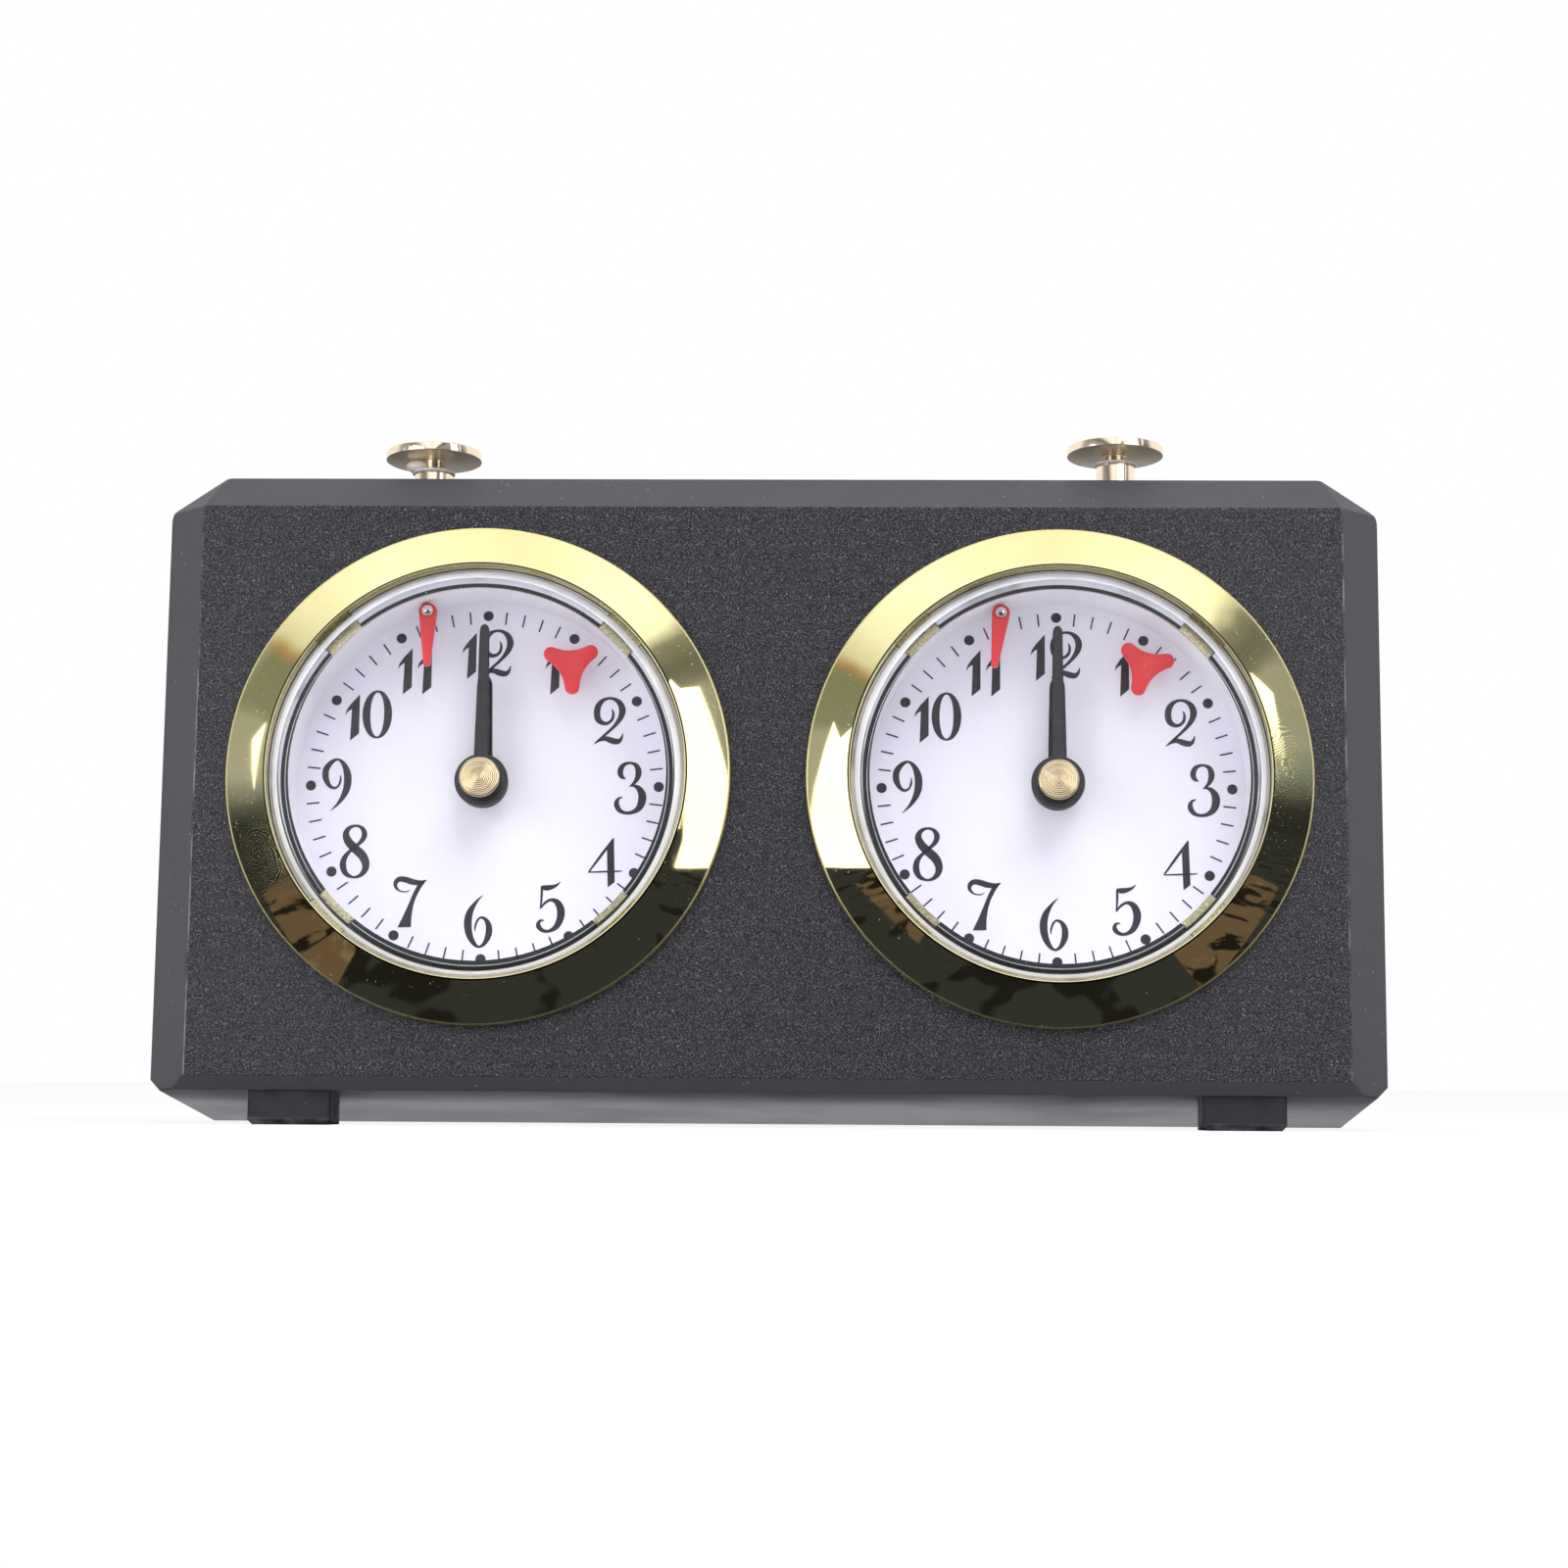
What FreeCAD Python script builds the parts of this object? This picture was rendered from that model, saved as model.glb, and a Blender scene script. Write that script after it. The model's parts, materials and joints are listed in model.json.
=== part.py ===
import FreeCAD, Part
import math
import os

# Analogue chess clock: one black case, two dials and movements, a rocker between two buttons.
# Drawn upright in millimetres: x to the right, y into the clock from the front face, z up from
# the underside. Each shape is leaned back onto the table just before it is exported.

os.makedirs("parts", exist_ok=True)
V = FreeCAD.Vector

# ---- case ----
CASE_W, CASE_H, CASE_D = 188.0, 96.5, 52.4
WALL = 3.0
FACE_BEVEL = 6.0            # 45 degree bevel round the sides and top of the front face
BASE_BEVEL = 2.0            # the same along the bottom
CORNER_W, CORNER_H = 8.7, 5.9   # cut along each top corner, across and down
BASE_CORNER = 1.8
CORNER_ROUND = 2.4          # rounding on the two edges of each top corner cut
EDGE_ROUND = 0.35
BACK_Y, BACK_T = 42.0, 2.5  # inner face and thickness of the recessed back plate
SCREW_IN, SCREW_LOW, SCREW_DROP = 7.2, 7.2, 10.3    # from the case's side, underside and top
SCREW_X, SCREW_HIGH = CASE_W / 2 - SCREW_IN, CASE_H - SCREW_DROP
BLOCK_HALF, BLOCK_FRONT = 4.2, 20.0     # corner blocks that take the back plate screws
SCREW_R, SCREW_HEAD_R, SCREW_HEAD_T, SCREW_LEN = 1.25, 2.6, 1.6, 9.0
PLATE_GAP = 0.15            # back plate to case, all round

# ---- feet and stance ----
FOOT_W, FOOT_D, FOOT_H = 12.7, 10.0, 5.2
FOOT_IN, FOOT_FRONT = 21.9, 2.5     # from the case's side and front
FOOT_X = CASE_W / 2 - FOOT_IN
FOOT_EDGE = 0.8
PEG_R = 2.0
LEAN = math.atan(FOOT_H / (CASE_D - FOOT_FRONT))    # feet and rear lower edge share the table

# ---- dials ----
DIAL_X, DIAL_DROP = 44.34, 48.3
DIAL_Z = CASE_H - DIAL_DROP
BEZEL_R, BEZEL_LIP_R, BEZEL_RISE, BEZEL_EDGE = 38.59, 31.85, 4.9, 1.1
BEZEL_T = 0.5
HOLE_GAP = 0.25
CRYSTAL_GAP, CRYSTAL_FRONT, CRYSTAL_T, CRYSTAL_EDGE = 0.7, -3.7, 1.6, 0.5
CRYSTAL_R = BEZEL_LIP_R - CRYSTAL_GAP
GASKET_W, GASKET_T = 2.95, 0.5
GASKET_R = BEZEL_LIP_R - GASKET_W
TAB_HALF = 6.0              # half the angle of each bezel tab
CUP_IN, CUP_T, CUP_FLANGE = 2.65, 1.2, 0.7
CUP_R = BEZEL_LIP_R - CUP_IN
DIAL_Y, DIAL_T = 9.6, 0.5
DIAL_FOOT_R, DIAL_FOOT_AT = 0.8, 25.0

# ---- hands, flag and tick indicator ----
CAP_R, CAP_FRONT = 3.12, 1.28
HUB_R, MINUTE_Y, MINUTE_T = 4.13, 4.08, 0.5
MINUTE_LEN, MINUTE_ROOT, MINUTE_TIP = 24.6, 2.1, 1.5
HOUR_Y, HOUR_T, HOUR_LEN, HOUR_ROOT, HOUR_TIP, HOUR_HUB_R = 6.2, 0.5, 17.0, 2.9, 2.4, 4.0
FLAG_IN, FLAG_ASIDE, FLAG_Y, FLAG_T = 1.4826, 8.75, 2.75, 1.1   # pivot in from the cup's wall
FLAG_AT = (-FLAG_ASIDE, math.sqrt((CUP_R - FLAG_IN) ** 2 - FLAG_ASIDE ** 2))
FLAG_LEN, FLAG_HEAD_R, FLAG_TIP_R = 8.6, 1.25, 0.55
FLAG_HANG = {-1: 0.0, 1: 6.9}   # how far each flag hangs toward the left, in degrees
FLAG_PIN_R, FLAG_PIN_HEAD_R = 0.5, 0.9
TICK_AT, TICK_Y, TICK_T = (13.45, 18.55), 5.25, 0.8
TICK_R, TICK_LOBE_R, TICK_WAIST, TICK_HUB_R = 4.7, 1.15, 2.2, 1.6
TICK_TURN = {-1: 33.0, 1: 14.0}     # direction of one lobe above +x, in degrees

# ---- buttons and rocker ----
BUTTON_X, BUTTON_Y = 53.8, 11.8
BUTTON_R, BUTTON_T, BUTTON_CROWN = 7.56, 1.3, 0.6
BUTTON_RISE = 4.78          # case top to the underside of both buttons when they are level
BUTTON_UNDER = CASE_H + BUTTON_RISE
NECK_R, NECK_H = 1.7, 2.3
BUTTON_HOLE_GAP = 0.15
REST_RISE = 0.475           # at rest the right button is this far above level, the left below
PIVOT_DROP, PIVOT_R, PIVOT_END = 12.5, 2.5, 14.0
PIVOT_Z = CASE_H - PIVOT_DROP
ROCKER_Y, ROCKER_T, ROCKER_H, ROCKER_PAST = 10.8, 2.0, 2.9, 4.2
ROCKER_TOP, ROCKER_REACH = PIVOT_Z - 0.1, BUTTON_X + ROCKER_PAST
ROCKER_BOTTOM = ROCKER_TOP - ROCKER_H
STEM_R, STEM_END = 3.0, ROCKER_TOP + 0.2
ROCKER_HUB_R = 4.6
RUNNING = 0.05              # shaft in hole, on the radius
BRAKE_PIN_R, BRAKE_PIN_Z = 0.6, ROCKER_BOTTOM + 0.8

# ---- movements: places are from the dial centre ----
PLATE_HALF, PLATE_T, PLATE_CUT = 30.0, 1.5, 4.0
FRONT_PLATE_Y, BACK_PLATE_Y = 14.0, 36.0
PLATE_BACK = BACK_PLATE_Y + PLATE_T
PILLAR_AT, PILLAR_R, POST_R, POST_BORE, TENON_R = 26.5, 2.2, 3.2, 1.15, 1.15
PILLAR_CAP_R, PILLAR_CAP_T = 2.0, 1.2
GREAT_AT = (21.0 * math.cos(math.radians(190)), 21.0 * math.sin(math.radians(190)))
THIRD_AT = (18.0 * math.cos(math.radians(-20)), 18.0 * math.sin(math.radians(-20)))
FOURTH_FROM_THIRD, ESCAPE_FROM_FOURTH = 13.6, 12.6
MOTION_AT = (9.6 * math.cos(math.radians(-60)), 9.6 * math.sin(math.radians(-60)))
PALLET_AT = (3.5, 21.5)
BALANCE_AT = (-8.0, 21.0)
BRAKE_AT = (8.0, 27.5)
BRAKE_REACH = 11.0          # from the brake pivot to its rocker pin, across
BRAKE_ARM_Y, BRAKE_FINGER_Y, BRAKE_T = 12.9, 24.0, 1.0
ARBOR_R, ESCAPE_ARBOR_R, CENTRE_ARBOR_R, WINDING_ARBOR_R, SLEEVE_R = 0.75, 0.6, 1.25, 2.0, 2.1
GREAT_TEETH, CENTRE_LEAVES, TRAIN_TEETH, TRAIN_LEAVES = 72, 12, 48, 6
CANNON_TEETH, MINUTE_TEETH, MINUTE_LEAVES, HOUR_TEETH = 12, 36, 10, 40
ESCAPE_TEETH, ESCAPE_R, PALLET_CLEAR = 15, 7.0, 0.8
WHEEL_T, LEAF_L = 1.0, 2.0
GREAT_Y, ESCAPE_Y, FOURTH_Y, THIRD_Y, CENTRE_Y = 17.0, 20.0, 24.0, 28.5, 33.2
MOTION_FRONT, MOTION_BACK = 10.7, 12.2
BALANCE_R, BALANCE_RIM, BALANCE_Y, BALANCE_T = 8.5, 0.9, 24.0, 1.5
SPRING_IN, SPRING_OUT, SPRING_TURNS, SPRING_T, SPRING_Y0, SPRING_Y1 = 3.0, 16.2, 7, 0.4, 20.0, 32.2
HAIR_IN, HAIR_OUT, HAIR_TURNS, HAIR_T, HAIR_Y0, HAIR_Y1 = 1.4, 5.2, 6, 0.15, 28.5, 29.3
PIPE_R, PIPE_BORE = 2.4, 1.6
RATCHET_TEETH, RATCHET_R, RATCHET_Y, RATCHET_T = 20, 6.0, 38.0, 1.2
CLICK_AT = (-8.0, -3.0)     # from the winding arbor
KEY_Y0, KEY_HUB_Y1, KEY_Y1, KEY_HALF, KEY_T, KEY_HUB_R = 45.0, 48.0, 54.6, 8.0, 2.0, 3.4
KNOB_R, KNOB_Y0, KNOB_Y1, KNOB_FLUTES = 5.0, 45.3, 52.6, 18

# tooth forms: addendum, dedendum, then widths at root, pitch and tip as shares of the pitch
WHEEL_FORM = (0.95, 1.25, 0.60, 0.42, 0.14)
LEAF_FORM = (0.6, 1.4, 0.36, 0.40, 0.16)


# ---- helpers ----
def block(x0, x1, y0, y1, z0, z1):
    return Part.makeBox(x1 - x0, y1 - y0, z1 - z0, V(x0, y0, z0))


def disc(r, y0, y1, at=(0, 0)):
    """Cylinder along y about the point at = (x, z)."""
    return Part.makeCylinder(r, y1 - y0, V(at[0], y0, at[1]), V(0, 1, 0))


def ring(r_out, r_in, y0, y1, at=(0, 0)):
    return disc(r_out, y0, y1, at).cut(disc(r_in, y0 - 1, y1 + 1, at))


def prism(points, y0, y1):
    """Flat outline in x and z, drawn out along y."""
    loop = [V(x, y0, z) for x, z in points]
    return Part.Face(Part.makePolygon(loop + loop[:1])).extrude(V(0, y1 - y0, 0))


def turned(profile):
    """Outline of (radius, y) points turned about the y axis."""
    loop = [V(r, y, 0) for r, y in profile]
    return Part.Face(Part.makePolygon(loop + loop[:1])).revolve(V(0, 0, 0), V(0, 1, 0), 360)


def bar(p, q, half, y0, y1):
    """Flat bar with round ends from p to q."""
    dx, dz = q[0] - p[0], q[1] - p[1]
    n = math.hypot(dx, dz)
    ox, oz = -dz / n * half, dx / n * half
    sides = [(p[0] + ox, p[1] + oz), (q[0] + ox, q[1] + oz), (q[0] - ox, q[1] - oz),
             (p[0] - ox, p[1] - oz)]
    return fuse(prism(sides, y0, y1), disc(half, y0, y1, p), disc(half, y0, y1, q))


def polar(r, degrees, at=(0, 0)):
    a = math.radians(degrees)
    return (at[0] + r * math.cos(a), at[1] + r * math.sin(a))


def toward(p, q):
    """Direction from p to q in degrees."""
    return math.degrees(math.atan2(q[1] - p[1], q[0] - p[0]))


def fuse(*shapes):
    return shapes[0].multiFuse(list(shapes[1:])).removeSplitter()


def cut(shape, *tools):
    for tool in tools:
        shape = shape.cut(tool)
    return shape


def trim(shape, point, normal):
    """Take off everything beyond the plane through point, on the side its normal points to."""
    slab = Part.makeBox(600, 600, 600, V(-300, -300, 0))
    slab.Placement = FreeCAD.Placement(V(*point), FreeCAD.Rotation(V(0, 0, 1), V(*normal)))
    return shape.cut(slab)


def spin(shape, degrees, at=(0, 0)):
    """Turn a shape anticlockwise, as seen from the front, about the y line through at."""
    done = shape.copy()
    done.rotate(V(at[0], 0, at[1]), V(0, -1, 0), degrees)
    return done


def moved(shape, x, z):
    done = shape.copy()
    done.translate(V(x, 0, z))
    return done


def gear(teeth, module, y0, y1, phase, form, at=(0, 0)):
    """Spur gear with one tooth centred on the direction phase."""
    addendum, dedendum, root, pitch, tip = form
    r, step = teeth * module / 2, 360 / teeth
    half = [(r - dedendum * module, root), (r, pitch), (r + addendum * module, tip)]
    flank = [(radius, -width / 2) for radius, width in half]
    flank += [(radius, width / 2) for radius, width in reversed(half)]
    points = [polar(radius, phase + (k + share) * step, at)
              for k in range(teeth) for radius, share in flank]
    return prism(points, y0, y1)


def saw(teeth, r, depth, y0, y1, at=(0, 0)):
    """Ratchet shaped wheel: each tooth has one steep and one sloping side."""
    step = 360 / teeth
    points = []
    for k in range(teeth):
        points += [polar(r, k * step, at), polar(r - depth, (k + 0.12) * step, at)]
    return prism(points, y0, y1)


def crossed(wheel, r, hole, count, y0, y1, at):
    """Lighten a wheel with a ring of round holes."""
    return cut(wheel, *[disc(hole, y0 - 1, y1 + 1, polar(r, 360 / count * (k + 0.5), at))
                        for k in range(count)])


def spiral(r_in, r_out, turns, thick, y0, y1, at, start):
    """Flat strip wound about at, from start degrees outward."""
    steps = turns * 16
    pitch = (r_out - r_in) / steps
    inner = [polar(r_in + pitch * k, start + 22.5 * k, at) for k in range(steps + 1)]
    outer = [polar(r_in + thick + pitch * k, start + 22.5 * k, at) for k in range(steps + 1)]
    return prism(inner + outer[::-1], y0, y1)


def meet(p, rp, q, rq):
    """The crossing of two circles that lies to the right of the line from p to q."""
    d = math.hypot(q[0] - p[0], q[1] - p[1])
    along = (rp * rp - rq * rq + d * d) / (2 * d)
    off = math.sqrt(rp * rp - along * along)
    ux, uz = (q[0] - p[0]) / d, (q[1] - p[1]) / d
    return (p[0] + along * ux + off * uz, p[1] + along * uz - off * ux)


FOURTH_AT = meet(THIRD_AT, FOURTH_FROM_THIRD, TICK_AT, ESCAPE_FROM_FOURTH)
BEZEL_WALL_R = BEZEL_LIP_R + BEZEL_T
POST_AT = [(sx * PILLAR_AT, sz * PILLAR_AT) for sx in (-1, 1) for sz in (-1, 1)]
SIDES = {"left": -1, "right": 1}
REST_TURN = math.degrees(math.asin(REST_RISE / BUTTON_X))


def stand(shape):
    """Lean the upright clock back on its feet and centre it over the origin."""
    done = shape.copy()
    foot = V(0, FOOT_FRONT, -FOOT_H)
    done.rotate(foot, V(1, 0, 0), -math.degrees(LEAN))
    lean = FreeCAD.Rotation(V(1, 0, 0), -math.degrees(LEAN))
    front = (foot + lean.multVec(V(0, -BEZEL_RISE, DIAL_Z - BEZEL_LIP_R) - foot)).y
    rear = (foot + lean.multVec(V(0, CASE_D, CASE_H) - foot)).y
    done.translate(V(0, -(front + rear) / 2, FOOT_H))
    return done


def export(name, *solids):
    shape = solids[0] if len(solids) == 1 else Part.makeCompound(list(solids))
    stand(shape).exportStep("parts/%s.step" % name)


# ---- case ----
def case_solid(inset, back):
    """The case's outside form with every plane but the back moved in by inset."""
    half = CASE_W / 2
    body = block(-half + inset, half - inset, inset, back, inset, CASE_H - inset)
    planes = [(V(0, 0, CASE_H - FACE_BEVEL), V(0, -1, 1)), (V(0, 0, BASE_BEVEL), V(0, -1, -1))]
    for s in (-1, 1):
        a = V(s * (half - CORNER_W), FACE_BEVEL, CASE_H)
        b = V(s * half, FACE_BEVEL, CASE_H - CORNER_H)
        c = V(s * (half - FACE_BEVEL), 0, CASE_H - FACE_BEVEL)
        facet = (b - a).cross(c - a) * -s
        planes += [(c, V(s, -1, 0)), (b, V(s * CORNER_H, 0, CORNER_W)), (a, facet),
                   (V(s * half, 0, BASE_CORNER), V(s, 0, -1))]
    for point, normal in planes:
        normal.normalize()
        body = trim(body, point - normal * inset, normal)
    return body


def front_edges(body):
    return [e for e in body.Edges if max(v.Y for v in e.Vertexes) < CASE_D - 0.1]


def corner_edges(body):
    """The four long edges of the two top corner cuts."""
    return [e for e in body.Edges
            if max(v.Y for v in e.Vertexes) > CASE_D - 0.1 > min(v.Y for v in e.Vertexes)
            and min(v.Z for v in e.Vertexes) > CASE_H / 2]


outside = case_solid(0, CASE_D)
outside = outside.makeFillet(CORNER_ROUND, corner_edges(outside))
outside = outside.makeFillet(EDGE_ROUND, front_edges(outside))
shell = outside.cut(case_solid(WALL, CASE_D + 5))
for sx in (-1, 1):
    for z0, z1 in ((0.5, SCREW_LOW + BLOCK_HALF), (SCREW_HIGH - BLOCK_HALF, CASE_H - 0.5)):
        x0, x1 = sorted((sx * (SCREW_X - BLOCK_HALF), sx * (CASE_W / 2 - 0.5)))
        corner = block(x0, x1, BLOCK_FRONT, BACK_Y, z0, z1)
        shell = shell.fuse(corner.common(case_solid(WALL / 2, CASE_D)))
    centre = (sx * DIAL_X, DIAL_Z)
    shell = shell.cut(disc(BEZEL_WALL_R + HOLE_GAP, -8, 8, centre))
    shell = shell.cut(Part.makeCylinder(STEM_R + BUTTON_HOLE_GAP, 10,
                                        V(sx * BUTTON_X, BUTTON_Y, CASE_H - 6)))
    shell = shell.cut(Part.makeCylinder(PEG_R, 8, V(sx * FOOT_X, FOOT_FRONT + FOOT_D / 2, -1)))
    for px, pz in POST_AT:
        at = (centre[0] + px, centre[1] + pz)
        shell = shell.fuse(disc(POST_R, WALL - 0.5, FRONT_PLATE_Y, at))
        shell = shell.cut(disc(POST_BORE, WALL + 1, FRONT_PLATE_Y + 1, at))
shell = shell.fuse(disc(PIVOT_R, WALL - 0.5, PIVOT_END, (0, PIVOT_Z)))
shell = shell.cut(disc(SCREW_R, PIVOT_END - SCREW_LEN, PIVOT_END + 1, (0, PIVOT_Z)))
screw_places = [(sx * SCREW_X, z) for sx in (-1, 1) for z in (SCREW_LOW, SCREW_HIGH)]
for at in screw_places:
    shell = shell.cut(disc(SCREW_R, BACK_Y - SCREW_LEN + BACK_T, BACK_Y + 1, at))
export("case_front", shell.removeSplitter())

back = case_solid(WALL + PLATE_GAP, BACK_Y + BACK_T)
back = trim(back, (0, BACK_Y, 0), (0, -1, 0))
for at in screw_places:
    back = back.cut(disc(SCREW_R, BACK_Y - 1, BACK_Y + BACK_T + 1, at))
for s in SIDES.values():
    centre = (s * DIAL_X, DIAL_Z)
    for x, z, r in ((0, 0, CENTRE_ARBOR_R), (*GREAT_AT, WINDING_ARBOR_R)):
        back = back.cut(disc(r + 0.4, BACK_Y - 1, BACK_Y + BACK_T + 1,
                             (centre[0] + x, centre[1] + z)))
export("case_back", back)


def screw(seat, at):
    """Pan head screw along y: the head sits behind the plane y = seat."""
    body = fuse(disc(SCREW_R, seat - SCREW_LEN, seat, at),
                disc(SCREW_HEAD_R, seat, seat + SCREW_HEAD_T, at))
    slot = block(at[0] - 0.35, at[0] + 0.35, seat + 0.9, seat + 3, at[1] - 2, at[1] + 2)
    cross = block(at[0] - 2, at[0] + 2, seat + 0.9, seat + 3, at[1] - 0.35, at[1] + 0.35)
    return cut(body, slot, cross)


export("case_screws", *[screw(BACK_Y + BACK_T, at) for at in screw_places],
       screw(PIVOT_END, (0, PIVOT_Z)))


def foot(x):
    """Block under the front edge; its bottom lies flat on the table when the clock leans."""
    body = block(x - FOOT_W / 2, x + FOOT_W / 2, FOOT_FRONT, FOOT_FRONT + FOOT_D, -FOOT_H, 0)
    body = body.makeFillet(0.6, [e for e in body.Edges
                                 if abs(e.Vertexes[0].Z - e.Vertexes[-1].Z) > 1])
    body = trim(body, (x, FOOT_FRONT, -FOOT_H), (0, math.sin(LEAN), -math.cos(LEAN)))
    for s in (-1, 1):
        body = trim(body, (x + s * FOOT_W / 2, 0, -FOOT_H + FOOT_EDGE), (s, 0, -1))
    body = trim(body, (x, FOOT_FRONT, -FOOT_H + FOOT_EDGE), (0, -1, -1))
    peg = Part.makeCylinder(PEG_R, WALL, V(x, FOOT_FRONT + FOOT_D / 2, 0))
    return fuse(body, peg)


export("front_feet", foot(-FOOT_X), foot(FOOT_X))

# ---- rocker: a flat bar on a boss of the case, with a pin for each brake ----
rocker = fuse(block(-ROCKER_REACH, ROCKER_REACH, ROCKER_Y, ROCKER_Y + ROCKER_T,
                    ROCKER_BOTTOM, ROCKER_TOP),
              disc(ROCKER_HUB_R, ROCKER_Y, ROCKER_Y + ROCKER_T, (0, PIVOT_Z)),
              *[disc(BRAKE_PIN_R, ROCKER_Y + 0.5, BRAKE_ARM_Y + BRAKE_T,
                     (s * DIAL_X + BRAKE_AT[0] - BRAKE_REACH, BRAKE_PIN_Z))
                for s in SIDES.values()])
rocker = rocker.cut(disc(PIVOT_R + RUNNING, 0, 20, (0, PIVOT_Z)))
export("rocker", spin(rocker, REST_TURN, (0, PIVOT_Z)))


# ---- dial side ----
def make_bezel():
    """Pressed ring: cone rising to the lip, wall back through the case, tabs in and lugs out."""
    slope = (BEZEL_RISE - BEZEL_EDGE) / (BEZEL_R - BEZEL_LIP_R)
    rim, wall = BEZEL_R - 0.7, BEZEL_WALL_R
    body = turned([(BEZEL_R, 0), (BEZEL_R, -BEZEL_EDGE + 0.2), (BEZEL_R - 0.2, -BEZEL_EDGE),
                   (BEZEL_LIP_R + 0.3, -BEZEL_RISE + 0.1), (BEZEL_LIP_R + 0.1, -BEZEL_RISE),
                   (BEZEL_LIP_R, -BEZEL_RISE + 0.15), (BEZEL_LIP_R, WALL + 0.5),
                   (wall, WALL + 0.5), (wall, -BEZEL_RISE + (wall - BEZEL_LIP_R) * slope + 0.55),
                   (rim, -BEZEL_EDGE - 0.7 * slope + 0.55), (rim, 0)])
    tab_front = CRYSTAL_FRONT + CRYSTAL_T
    for k in range(4):
        wedge = [(0, 0), polar(60, 45 + 90 * k - TAB_HALF), polar(60, 45 + 90 * k + TAB_HALF)]
        tab = ring(BEZEL_LIP_R + 0.2, GASKET_R, tab_front, tab_front + GASKET_T)
        body = body.fuse(tab.common(prism(wedge, -10, 10)))
        wedge = [(0, 0), polar(60, 90 * k - TAB_HALF), polar(60, 90 * k + TAB_HALF)]
        lug = ring(BEZEL_LIP_R + 3, BEZEL_LIP_R + 0.2, WALL, WALL + 0.5)
        body = body.fuse(lug.common(prism(wedge, -10, 10)))
    return body.removeSplitter()


def make_gasket():
    seat = CRYSTAL_FRONT + CRYSTAL_T
    body = ring(BEZEL_LIP_R - 0.1, GASKET_R, seat, seat + GASKET_T)
    for k in range(4):
        wedge = [(0, 0), polar(60, 45 + 90 * k - TAB_HALF - 0.3),
                 polar(60, 45 + 90 * k + TAB_HALF + 0.3)]
        body = body.cut(prism(wedge, -10, 10))
    return body


def make_crystal():
    back_y, edge = CRYSTAL_FRONT + CRYSTAL_T, CRYSTAL_EDGE
    return turned([(0, CRYSTAL_FRONT), (CRYSTAL_R - edge, CRYSTAL_FRONT),
                   (CRYSTAL_R, CRYSTAL_FRONT + edge), (CRYSTAL_R, back_y), (0, back_y)])


def make_cup():
    front = CRYSTAL_FRONT + CRYSTAL_T + GASKET_T
    return turned([(CUP_R, front), (BEZEL_LIP_R - 0.1, front),
                   (BEZEL_LIP_R - 0.1, front + CUP_FLANGE), (CUP_R + CUP_T, front + CUP_FLANGE),
                   (CUP_R + CUP_T, DIAL_Y), (CUP_R, DIAL_Y)])


def make_dial():
    feet = [disc(DIAL_FOOT_R, DIAL_Y, FRONT_PLATE_Y, polar(DIAL_FOOT_AT, a)) for a in (30, 150, 270)]
    body = fuse(disc(CUP_R + CUP_T, DIAL_Y, DIAL_Y + DIAL_T), *feet)
    return cut(body, disc(PIPE_R + 0.4, 0, 20), disc(ESCAPE_ARBOR_R + 0.3, 0, 20, TICK_AT),
               disc(FLAG_PIN_R, 0, 20, FLAG_AT))


def hand(length, root, tip, hub_r, y0, y1, bore):
    """Tapering blade that points up from a round hub and ends in a short point."""
    blade = prism([(-root / 2, 0), (root / 2, 0), (tip / 2, length - tip * 0.7), (0.15, length),
                   (-0.15, length), (-tip / 2, length - tip * 0.7)], y0, y1)
    return fuse(blade, disc(hub_r, y0, y1)).cut(disc(bore, y0 - 1, y1 + 1))


def make_flag(hang):
    """Drop shaped plate hanging from its pin."""
    x, z = FLAG_AT
    y0, y1 = FLAG_Y, FLAG_Y + FLAG_T
    foot_z = z - FLAG_LEN + FLAG_TIP_R
    reach = z - foot_z
    tilt = math.asin((FLAG_HEAD_R - FLAG_TIP_R) / reach)
    side = []
    for r, cz in ((FLAG_HEAD_R, z), (FLAG_TIP_R, foot_z)):
        side.append((r * math.cos(tilt), cz - r * math.sin(tilt)))
    points = [(x + px, pz) for px, pz in side] + [(x - px, pz) for px, pz in reversed(side)]
    body = fuse(prism(points, y0, y1), disc(FLAG_HEAD_R, y0, y1, (x, z)),
                disc(FLAG_TIP_R, y0, y1, (x, foot_z)))
    body = body.cut(disc(FLAG_PIN_R + RUNNING, 0, 9, (x, z)))
    return spin(body, -hang, (x, z))


def flag_pin():
    """Pin with a domed head, from in front of the flag to the movement plate."""
    y = FLAG_Y - 0.1
    shank = disc(FLAG_PIN_R, y - 0.1, FRONT_PLATE_Y + PLATE_T, FLAG_AT)
    head = Part.makeSphere(FLAG_PIN_HEAD_R, V(FLAG_AT[0], y, FLAG_AT[1]))
    return fuse(shank, trim(head, (0, y, 0), (0, 1, 0)))


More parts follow.
